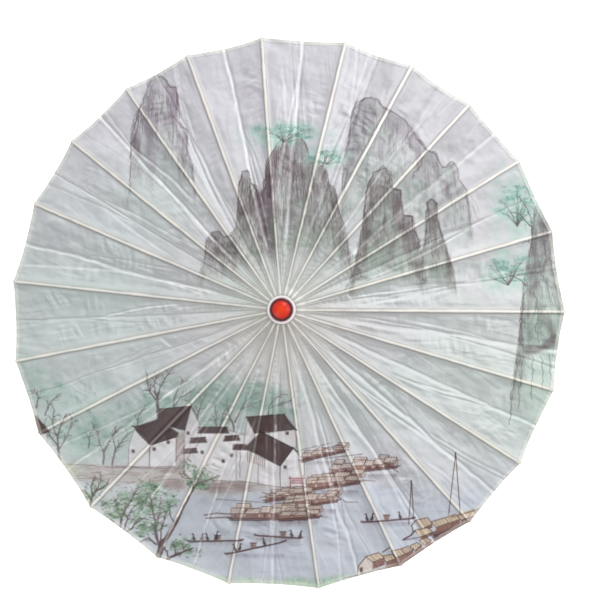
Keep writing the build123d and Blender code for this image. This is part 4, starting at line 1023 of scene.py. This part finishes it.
# =====================================================================================
# canopy cloth
# =====================================================================================
N_RIBS = 22
joints = {j["child"]: j for j in frame["joints"]}
AZ = []
for k in range(N_RIBS):
    p = joints[f"rib_{k + 1:02d}"]["pos_m"]
    AZ.append(math.degrees(math.atan2(p[0], p[1])) % 360.0)
HINGE_R = math.hypot(*joints["rib_01"]["pos_m"][:2])

# profile over a rib, from the CAD sheet's vertices above the first rib
cad = frame["nodes"]["canopy"].data
co = np.empty(len(cad.vertices) * 3, np.float32)
cad.vertices.foreach_get("co", co)
co = co.reshape(-1, 3).astype(float)
on = co[(np.abs(co[:, 0]) < 2e-5) & (co[:, 1] > 0)]
stations = {}
for _, r_, z_ in on:
    key = round(r_, 4)
    stations.setdefault(key, []).append((r_, z_))
prof_r = np.array([np.mean([a for a, _ in v]) for _, v in sorted(stations.items())])
prof_z = np.array([np.min([b for _, b in v]) for _, v in sorted(stations.items())])   # underside of the CAD sheet
slopes = np.gradient(prof_z, prof_r)
slopes[:2] = 0.0
slopes[2] = (prof_z[3] - prof_z[2]) / (prof_r[3] - prof_r[2])
U_TIP = float(prof_r[-1])


def profile(u):
    """Height of the cloth over a rib at distance u from the axis, a smooth curve through the stations."""
    u = np.asarray(u, float)
    i = np.clip(np.searchsorted(prof_r, u) - 1, 0, len(prof_r) - 2)
    h = prof_r[i + 1] - prof_r[i]
    t = np.clip((u - prof_r[i]) / h, 0, 1)
    h00, h10, h01, h11 = 2 * t**3 - 3 * t**2 + 1, t**3 - 2 * t**2 + t, -2 * t**3 + 3 * t**2, t**3 - t**2
    return h00 * prof_z[i] + h10 * h * slopes[i] + h01 * prof_z[i + 1] + h11 * h * slopes[i + 1] - 0.00018


def value_noise(x, y, seed):
    """Smooth value noise at the points, lattice spacing 1, range -1..1."""
    r = np.random.default_rng(seed)
    g = r.random((64, 64)) * 2 - 1
    xi, yi = np.floor(x).astype(int), np.floor(y).astype(int)
    fx, fy = x - xi, y - yi
    fx, fy = fx * fx * fx * (fx * (fx * 6 - 15) + 10), fy * fy * fy * (fy * (fy * 6 - 15) + 10)
    a, b = g[yi % 64, xi % 64], g[yi % 64, (xi + 1) % 64]
    c, d = g[(yi + 1) % 64, xi % 64], g[(yi + 1) % 64, (xi + 1) % 64]
    return (a * (1 - fx) + b * fx) * (1 - fy) + (c * (1 - fx) + d * fx) * fy


def fbm(x, y, seed, octaves=3, gain=0.5):
    out, amp = 0, 1.0
    for o in range(octaves):
        out = out + amp * value_noise(x * 2**o + 13.1 * o, y * 2**o + 7.7 * o, seed + o)
        amp *= gain
    return out


# per gore (between rib g and rib g + 1): how far its edge is drawn in, its sag, its folds and its ripples
gore_rng = np.random.default_rng(417)


def half_angle(k, side):
    other = (k + side) % N_RIBS
    d = (AZ[other] - AZ[k]) * side
    return math.radians((d % 360.0) / 2)


GORE = []
for g in range(N_RIBS):
    r = gore_rng
    folds = [{"u": (0.075, 0.43), "c": (0.0, 0.0), "amp": r.uniform(0.52, 0.86), "w": r.uniform(0.0018, 0.0026), "side": r.choice([-1, 1]), "wander": r.uniform(0.0008, 0.0024), "seed": int(r.integers(1, 9000))}]
    for j in range(int(r.integers(2, 5))):            # folds that leave the middle and run in to a rib
        u1 = r.uniform(0.20, 0.37)
        folds.append({"u": (u1 * r.uniform(0.30, 0.55), u1), "c": (r.choice([-1, 1]) * r.uniform(0.35, 0.8), r.uniform(-0.06, 0.06)), "amp": r.uniform(0.26, 0.66), "w": r.uniform(0.0013, 0.0021),
                      "side": r.choice([-1, 1]), "wander": r.uniform(0.0004, 0.0014), "seed": int(r.integers(1, 9000))})
    for j in range(int(r.integers(0, 3))):            # folds that run out to the hem
        u0 = r.uniform(0.20, 0.30)
        folds.append({"u": (u0, 0.43), "c": (r.uniform(-0.1, 0.1), r.choice([-1, 1]) * r.uniform(0.2, 0.7)), "amp": r.uniform(0.22, 0.60), "w": r.uniform(0.0015, 0.0024),
                      "side": r.choice([-1, 1]), "wander": r.uniform(0.0005, 0.002), "seed": int(r.integers(1, 9000))})
    ripples = []
    for j in range(int(r.integers(6, 11))):           # short satin ripples across the half gores
        ripples.append({"u": r.uniform(0.07, 0.36), "c": r.choice([-1, 1]) * r.uniform(0.3, 0.62), "len": r.uniform(0.014, 0.034), "wide": r.uniform(0.20, 0.34), "wave": r.uniform(0.0085, 0.0145),
                        "turn": r.uniform(-0.6, 0.6), "amp": r.uniform(0.30, 0.74), "phase": r.uniform(0, 6.3)})
    GORE.append({"scallop": r.uniform(0.0016, 0.0042), "sag": r.uniform(0.0036, 0.0058), "skew": r.choice([-1, 1]) * r.uniform(0.0006, 0.0019), "folds": folds, "ripples": ripples, "wr": r.uniform(0.6, 1.2), "seed": int(r.integers(1, 9000))})
    # strength of each fold's painted highlight: more on the main fold and on the gores to the west
    west = 0.5 - 0.5 * math.sin(math.radians(AZ[g] + 8.0))
    for j, f in enumerate(folds):
        f["pale"] = (0.30 + 0.8 * west) * r.uniform(0.75, 1.1) if j == 0 else r.uniform(0.15, 0.5) + 0.35 * west
    GORE[-1]["lean"] = (r.uniform(0.04, 0.22), -r.uniform(0.04, 0.22))
    GORE[-1]["pull"] = (r.uniform(0.00012, 0.00026), r.uniform(0.00012, 0.00026))


def fold_line(f, u, half):
    """Signed distance from the gore's middle at which a fold runs, at rib distance u."""
    t = (u - f["u"][0]) / (f["u"][1] - f["u"][0])
    c = (f["c"][0] * (1 - t) + f["c"][1] * t) * half
    return c + f["wander"] * (value_noise(u / 0.05, u * 0, f["seed"]) + 0.4 * value_noise(u / 0.016, u * 0, f["seed"] + 1))


def fold_fade(f, u):
    u0, u1 = f["u"]
    end = 1.0 if u1 > 0.42 else smooth(u1 + 0.004, u1 - 0.03, u)
    return smooth(u0, u0 + 0.035, u) * end


def pulled(g, c, u):
    """Long shallow wrinkles that run along a gore, a little aslant to it, in patches."""
    q = GORE[g]
    out = 0
    for j in range(2):
        across = c + q["lean"][j] * (u - 0.22) + 0.0011 * value_noise(u / 0.022, c * 0 + g, 211 + j)
        line = value_noise(across / (0.0040 + 0.0012 * j) + 5.0 * g, u / 0.062 + 3.1 * g, 201 + j) + 0.45 * value_noise(across / 0.0024 + 9.0 * g, u / 0.034 + 1.7 * g, 221 + j)
        patch = smooth(-0.25, 0.45, value_noise(c / 0.021 + 2.3 * g, u / 0.060 + 1.3 * g + 11 * j, 231 + j))
        out = out + q["pull"][j] * line * patch
    return out


def cloth_point(k, side, a, u, flat_v):
    """Position of cloth at share a (0 at rib k, 1 at the crease) of the half gore on that side, at rib distance u."""
    h = half_angle(k, side)
    g = k if side > 0 else (k - 1) % N_RIBS
    az = math.radians(AZ[k])
    mid = az + side * h
    rib_dir, mid_dir = np.array([math.sin(az), math.cos(az)]), np.array([math.sin(mid), math.cos(mid)]) * math.cos(h)
    d = rib_dir[None] * (1 - a)[:, None] + mid_dir[None] * a[:, None]
    x, y = d[:, 0] * u, d[:, 1] * u
    z = profile(u)
    t = np.clip((u - HINGE_R) / (U_TIP - HINGE_R), 0, 1)
    half = u * math.sin(h)
    s = a * half                                 # from the rib's line
    dc = (1 - a) * half                          # from the crease
    c = -side * dc                               # signed, across the whole gore
    q = GORE[g]
    glue = smooth(0.0021, 0.0065, s)
    lat = half * math.cos(h)
    wide = np.minimum(lat / 0.042, 1.15) * (1 - 0.86 * np.clip(t, 0, 1) ** 3)
    sag = q["sag"] * wide
    dz = -sag * (0.72 * a**1.7 + 0.28 * a * (2 - a)) * smooth(0.0018, 0.009, s)
    cn = c / np.maximum(half, 1e-6)
    dz += 2.6 * q["skew"] * wide * cn * (1 - cn * cn) * smooth(0.0020, 0.012, s)
    dz -= 0.00075 * smooth(BAND, BAND + 0.0028, s) * smooth(0.05, 0.11, u)
    dz += pulled(g, c, u) * smooth(0.0030, 0.0085, s) * smooth(0.05, 0.10, u)
    # folds
    for f in q["folds"]:
        e = (c - fold_line(f, u, half)) / f["w"]
        if np.abs(e).min() > 7:
            continue
        m = fold_fade(f, u) * smooth(0.003, 0.012, s)
        dz += 0.001 * f["amp"] * m * (-np.exp(-e * e) + 0.55 * np.exp(-(((e - 2.3 * f["side"]) / 1.7) ** 2)))
    # ripples
    for f in q["ripples"]:
        ru, rc = u - f["u"], c - f["c"] * half
        m = np.exp(-((ru / f["len"]) ** 2) - ((rc / (f["wide"] * np.maximum(half, 0.004) * 1.3)) ** 2))
        pu = ru * math.cos(f["turn"]) + rc * math.sin(f["turn"]) + 0.0016 * value_noise(rc / 0.012, ru / 0.03, q["seed"] + 5)
        wave = 1.6 * value_noise(1.55 * pu / f["wave"] + f["phase"] * 3, rc / 0.020 + f["phase"], q["seed"] + 6)
        dz += 0.001 * f["amp"] * m * smooth(0.0025, 0.009, s) * (wave + 0.5 * value_noise(3.4 * pu / f["wave"] + f["phase"], rc / 0.011, q["seed"] + 7)) * smooth(0.05, 0.10, u)
    # broad undulation, shared by both sides of every crease
    free = smooth(0.0025, 0.014, s)
    dz += 0.00105 * fbm(x / 0.040, y / 0.040, 51, 2) * free
    dz += 0.00050 * q["wr"] * fbm(x / 0.017, y / 0.017, 71, 2) * free * smooth(0.04, 0.09, u)
    # fine crumple, and gathers near the cap
    dz += 0.000075 * fbm(x / 0.0075, y / 0.0075, 91, 2) * glue
    ray = (az + side * a * h) * 46.0
    dz += 0.00026 * value_noise(ray, u * 30, 33) * smooth(0.17, 0.05, u) * smooth(0.021, 0.034, u) * smooth(0.0010, 0.0040, s)
    dz += 0.00010 * np.cos(2 * np.pi * u / 0.0075 + 5 * value_noise(ray * 0.4, u * 9, 35)) * smooth(0.15, 0.10, u) * smooth(0.034, 0.05, u) * smooth(0.0020, 0.0045, s) * smooth(0.2, 0.6, value_noise(ray * 0.22, u * 14, 36) + 0.3)
    # hem: the cloth is turned under, and puckers a little along its stitching
    e = flat_v
    hem = smooth(0.0076, 0.0064, e)
    dz += 0.00030 * hem * glue
    dz += 0.00016 * np.sin(s / 0.0011 + 7 * value_noise(s / 0.006, s * 0, q["seed"] + 9)) * np.exp(-(((e - 0.0068) / 0.0018) ** 2)) * glue * smooth(0.0, 0.004, dc)
    return x, y, z + dz, s, dc, g


def paint_of(x, y, z, s, dc, e, g, u, side):
    """Dye on the cloth (linear), with painted highlights and painted shade, and how freely light passes through it."""
    px, py = art_xy(np.c_[x, y, z])
    col = sample_art(px, py).astype(float)
    n = fbm(x / 0.009, y / 0.009, 5, 2)
    q = GORE[g]
    half = s + dc
    c = -side * dc
    col *= 1 + 0.014 * fbm(x / 0.03, y / 0.03, 6, 2)[:, None]
    # painted light along the folds: a painted highlight on the rising side of each fold and painted shade in its trough
    fold_highlight, fold_shade = 0.0, 0.0
    for f in q["folds"]:
        d = c - fold_line(f, u, half)
        m = fold_fade(f, u) * smooth(0.003, 0.010, s) * (0.65 + 0.35 * n) * f["pale"]
        fold_highlight = fold_highlight + m * np.exp(-(((d - f["side"] * f["w"] * 1.4) / 0.0015) ** 2))
        fold_shade = fold_shade + m * np.exp(-((d / 0.0009) ** 2))
    col = col * (1 - 0.075 * np.clip(fold_shade, 0, 1)[:, None])
    col = col + (0.99 - col) * 0.52 * np.clip(fold_highlight, 0, 1.2)[:, None]
    # bamboo shows through where the cloth is glued down, and each rib line is made paler as a painted highlight
    w = 0.5 * (0.0018 + 0.0015 * smooth(0.04, 0.24, u)) * (1 + 0.18 * value_noise(u / 0.014, s * 0 + 3.0 * g + side, 9))
    rib = smooth(w + 0.0012, w - 0.00085, s + 0.00016 * n) * smooth(0.016, 0.024, u)
    cream = np.array([1.0, 0.992, 0.970])
    warm = np.clip(0.5 + 0.5 * value_noise(u * 30, s * 0 + g, 8), 0, 1)[:, None]
    tint = cream * (1 - 0.035 * warm * np.array([0.0, 0.35, 1.4]))
    lum = col @ np.array([0.3, 0.6, 0.1])
    bamboo_and_highlight = rib * (0.86 + 0.14 * value_noise(u / 0.026, s * 0 + 5.0 * g, 10)) * (0.26 + 0.74 * smooth(0.30, 0.76, lum))
    col = col * (1 - bamboo_and_highlight[:, None]) + tint * bamboo_and_highlight[:, None]
    # painted shade in the angle beside each rib, darker on the side turned from the light
    turned_from_light = 0.5 - 0.5 * side * math.cos(math.radians(AZ[g if side > 0 else (g + 1) % N_RIBS] + 62.0))
    edge = np.exp(-(((s - w - 0.0013) / 0.0010) ** 2)) * smooth(0.03, 0.08, u)
    shade = (0.03 + 0.13 * turned_from_light) * edge
    col = col * (1 - shade[:, None] * np.array([0.85, 1.0, 1.05]))
    # painted shadow of the collar on the cloth around it, strongest on the side turned from the light and broken up
    # along the gathers
    rr, bearing = np.hypot(x, y), np.arctan2(x, y)
    collar_shadow = smooth(0.075, 0.016, rr) * np.clip(0.36 + 0.64 * np.cos(bearing - math.radians(205.0)), 0, 1)
    gather = 0.5 + 0.5 * value_noise(bearing * 13.0, rr * 24, 44)
    col = col * (1 - (collar_shadow * (0.05 + 0.13 * gather) * (1 - 0.6 * rib))[:, None] * np.array([0.9, 1.0, 1.1]))
    # hem
    hem = smooth(0.0072, 0.0058, e + 0.0005 * n)
    col = col * (1 - 0.45 * hem[:, None]) + np.array([0.93, 0.935, 0.885]) * 0.45 * hem[:, None]
    seam = np.exp(-(((e - 0.0066) / 0.00060) ** 2)) * (0.5 + 0.5 * np.sign(np.sin(s / 0.00065)))
    col *= 1 - 0.09 * seam[:, None]
    rim = 0.4 * smooth(0.0014, 0.0, e)[:, None]
    col = col * (1 - rim) + rim * np.array([0.88, 0.87, 0.76])
    thin = (1 - 0.9 * rib) * (1 - 0.5 * hem)
    dyed = 1 - 0.11 * (1 - np.clip(rib + 0.5 * hem + 0.6 * np.clip(fold_highlight, 0, 1), 0, 1))
    return np.c_[np.clip(to_linear(np.clip(col, 0, 1)) * dyed[:, None], 0, 1), thin]


U_PANEL = 0.036
U_NECK = 0.0192
# bearing from which the painted light and shade on the wrinkles fall
PAINTED_LIGHT_AZ = math.radians(35.0)


BAND = 0.0024                                   # half width of the strip glued along each rib


def side_shares(n):
    x = np.linspace(0, 1, n + 1)
    return x - 0.05 * np.sin(2 * np.pi * x)


def column(k, side, x, rows, u0, to_edge, part):
    """One column of cloth. In a band x is the distance from the rib, in a half gore it is the share from the band's edge to the crease, in a neck from the rib to the crease."""
    h = half_angle(k, side)
    g = k if side > 0 else (k - 1) % N_RIBS
    v = np.linspace(0, 1, rows + 1)
    across = math.sin(h) * math.cos(h)

    def share(u):
        if part == "band":
            return x / (u * across)
        if part == "half":
            return BAND / (u * across) * (1 - x) + x
        return x + 0 * u

    if to_edge:
        tip = share(U_TIP)
        u1 = U_TIP - 0.0006 - GORE[g]["scallop"] * (1 - (1 - tip) ** 2)
        u = u0 + (u1 - u0) * v
        e = (u1 - u) * 1.05
    else:
        u = u0 + (U_PANEL - u0) * v
        e = np.full_like(u, 0.3)
    x_, y_, z_, s_, dc, g = cloth_point(k, side, share(u), u, e)
    return np.c_[x_, y_, z_], paint_of(x_, y_, z_, s_, dc, e, g, u, side)


def cloth_piece(name, k, rows, columns, u0, to_edge, part):
    both = [column(k, side, x, rows, u0, to_edge, part) for side, x in columns]
    pts, col = np.array([p for p, _ in both]), np.array([c for _, c in both])
    nc, nr = pts.shape[0], pts.shape[1]
    if part == "half":                            # painted light and shade: every wrinkle is made lighter on the flank that faces the light's bearing and darker on the other
        n = np.cross(np.gradient(pts, axis=0), np.gradient(pts, axis=1))
        n /= np.linalg.norm(n, axis=2, keepdims=True)
        n *= np.sign(n[..., 2:])
        r = np.hypot(pts[..., 0], pts[..., 1])
        fall = (profile(r + 0.002) - profile(r - 0.002)) / 0.004
        flank = n[..., :2] / n[..., 2:] + fall[..., None] * pts[..., :2] / r[..., None]
        lean = flank @ np.array([math.sin(PAINTED_LIGHT_AZ), math.cos(PAINTED_LIGHT_AZ)])
        col[..., :3] = np.clip(col[..., :3] * (1 + 0.95 * np.clip(lean, -0.22, 0.22)[..., None]), 0, 1)
    idx = np.arange(nc * nr).reshape(nc, nr)
    quads = np.stack([idx[:-1, :-1], idx[:-1, 1:], idx[1:, 1:], idx[1:, :-1]], axis=-1).reshape(-1, 4)
    return mesh_piece(name, pts.reshape(-1, 3), quads, col.reshape(-1, 4))


def mesh_piece(name, pts, quads, col):
    me = bpy.data.meshes.new(name)
    me.vertices.add(len(pts))
    me.vertices.foreach_set("co", pts.astype(np.float32).ravel())
    me.loops.add(quads.size)
    me.loops.foreach_set("vertex_index", quads.astype(np.int32).ravel())
    me.polygons.add(len(quads))
    me.polygons.foreach_set("loop_start", np.arange(0, quads.size, 4, dtype=np.int32))
    me.polygons.foreach_set("use_smooth", np.ones(len(quads), bool))
    me.update(calc_edges=True)
    me.validate()
    at = me.attributes.new("paint", "FLOAT_COLOR", "POINT")
    at.data.foreach_set("color", np.c_[col[:, :3], np.ones(len(col))].astype(np.float32).ravel())
    at = me.attributes.new("thin", "FLOAT", "POINT")
    at.data.foreach_set("value", col[:, 3].astype(np.float32))
    at = me.attributes.new("cloth", "FLOAT_VECTOR", "POINT")
    at.data.foreach_set("vector", np.c_[pts[:, 0] * 1000, pts[:, 1] * 1000, np.zeros(len(pts))].astype(np.float32).ravel())
    me.materials.append(MAT_CLOTH)
    o = bpy.data.objects.new(name, me)
    bpy.context.scene.collection.objects.link(o)
    # upward normals
    if me.polygons[0].normal.z < 0:
        me.flip_normals()
    return o


ROWS, COLS = ((310, 44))
first = None
for k in range(N_RIBS):
    n = k + 1
    rib = f"rib_{n:02d}"
    band_x = np.linspace(-BAND, BAND, 9)
    band = cloth_piece(f"canopy_band_{n:02d}", k, ROWS, [(-1 if x < 0 else 1, abs(x)) for x in band_x], U_PANEL, True, "band")
    first = first or band
    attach(band, rib)
    neck_x = [(-1, v) for v in np.linspace(1, 0, 7)] + [(1, v) for v in np.linspace(0, 1, 7)[1:]]
    neck = cloth_piece(f"canopy_neck_{n:02d}", k, 14, neck_x, U_NECK, False, "neck")
    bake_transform(neck)
    for side, tag in ((-1, "left"), (1, "right")):
        shares = side_shares(COLS)
        if side < 0:
            shares = shares[::-1]
        half = cloth_piece(f"canopy_gore_{n:02d}_{tag}", k, ROWS, [(side, x) for x in shares], U_PANEL, True, "half")
        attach(half, rib)
        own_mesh(half)
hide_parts("canopy")

# the middle of the sheet, clamped between hub and collar
ring_r = np.linspace(0.0112, U_NECK, 6)
pts, cols = [], []
for k in range(N_RIBS):
    for side, a in [(1, 0.0), (1, 0.5), (1, 1.0), (-1, 0.5)]:
        kk = k if side > 0 else (k + 1) % N_RIBS
        x, y, z, s, dc, g = cloth_point(kk, side, np.full(6, a), ring_r, np.full(6, 0.3))
        pts.append(np.c_[x, y, z])
        cols.append(np.tile(np.r_[to_linear(np.array([0.82, 0.83, 0.84])), 0.3], (6, 1)))
pts = np.array(pts)
nc = len(pts)
idx = np.arange(nc * 6).reshape(nc, 6)
nxt = np.roll(idx, -1, axis=0)
quads = np.stack([idx[:, :-1], idx[:, 1:], nxt[:, 1:], nxt[:, :-1]], axis=-1).reshape(-1, 4)
crown = mesh_piece("canopy_crown", pts.reshape(-1, 3), quads, np.array(cols).reshape(-1, 4))
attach(crown, "shaft_and_canopy")

# =====================================================================================
# floor and light
# =====================================================================================
me = bpy.data.meshes.new("floor")
h = 6.0
me.from_pydata([(-h, -h, -0.0004), (h, -h, -0.0004), (h, h, -0.0004), (-h, h, -0.0004)], [], [(0, 1, 2, 3)])
floor = bpy.data.objects.new("floor", me)
bpy.context.scene.collection.objects.link(floor)
m, nt, b, out = new_mat("studio_floor")
set_bsdf(b, Base_Color=(0.94, 0.94, 0.94, 1), Roughness=0.9, Specular_IOR_Level=0.1, Emission_Color=(1, 1, 1, 1), Emission_Strength=0.52)
me.materials.append(m)

world = bpy.data.worlds.new("studio")
world.use_nodes = True
bpy.context.scene.world = world
world.node_tree.nodes["Background"].inputs[0].default_value = (1, 1, 1, 1)
world.node_tree.nodes["Background"].inputs[1].default_value = 0.57


def area_light(name, loc, target, size, power):
    d = bpy.data.lights.new(name, "AREA")
    d.shape = "SQUARE"
    d.size = size
    d.energy = power
    o = bpy.data.objects.new(name, d)
    o.location = loc
    o.rotation_mode = "QUATERNION"
    o.rotation_quaternion = (Vector(target) - Vector(loc)).to_track_quat("-Z", "Y")
    bpy.context.scene.collection.objects.link(o)
    return o


area_light("key", (1.3, 2.2, 1.8), (0, 0, 0.45), 0.8, 33.0)
area_light("side", (2.8, 0.0, 1.8), (0, 0, 0.45), 1.4, 23.0)
area_light("fill", (-1.9, -1.6, 1.9), (0, 0, 0.45), 1.8, 23.0)
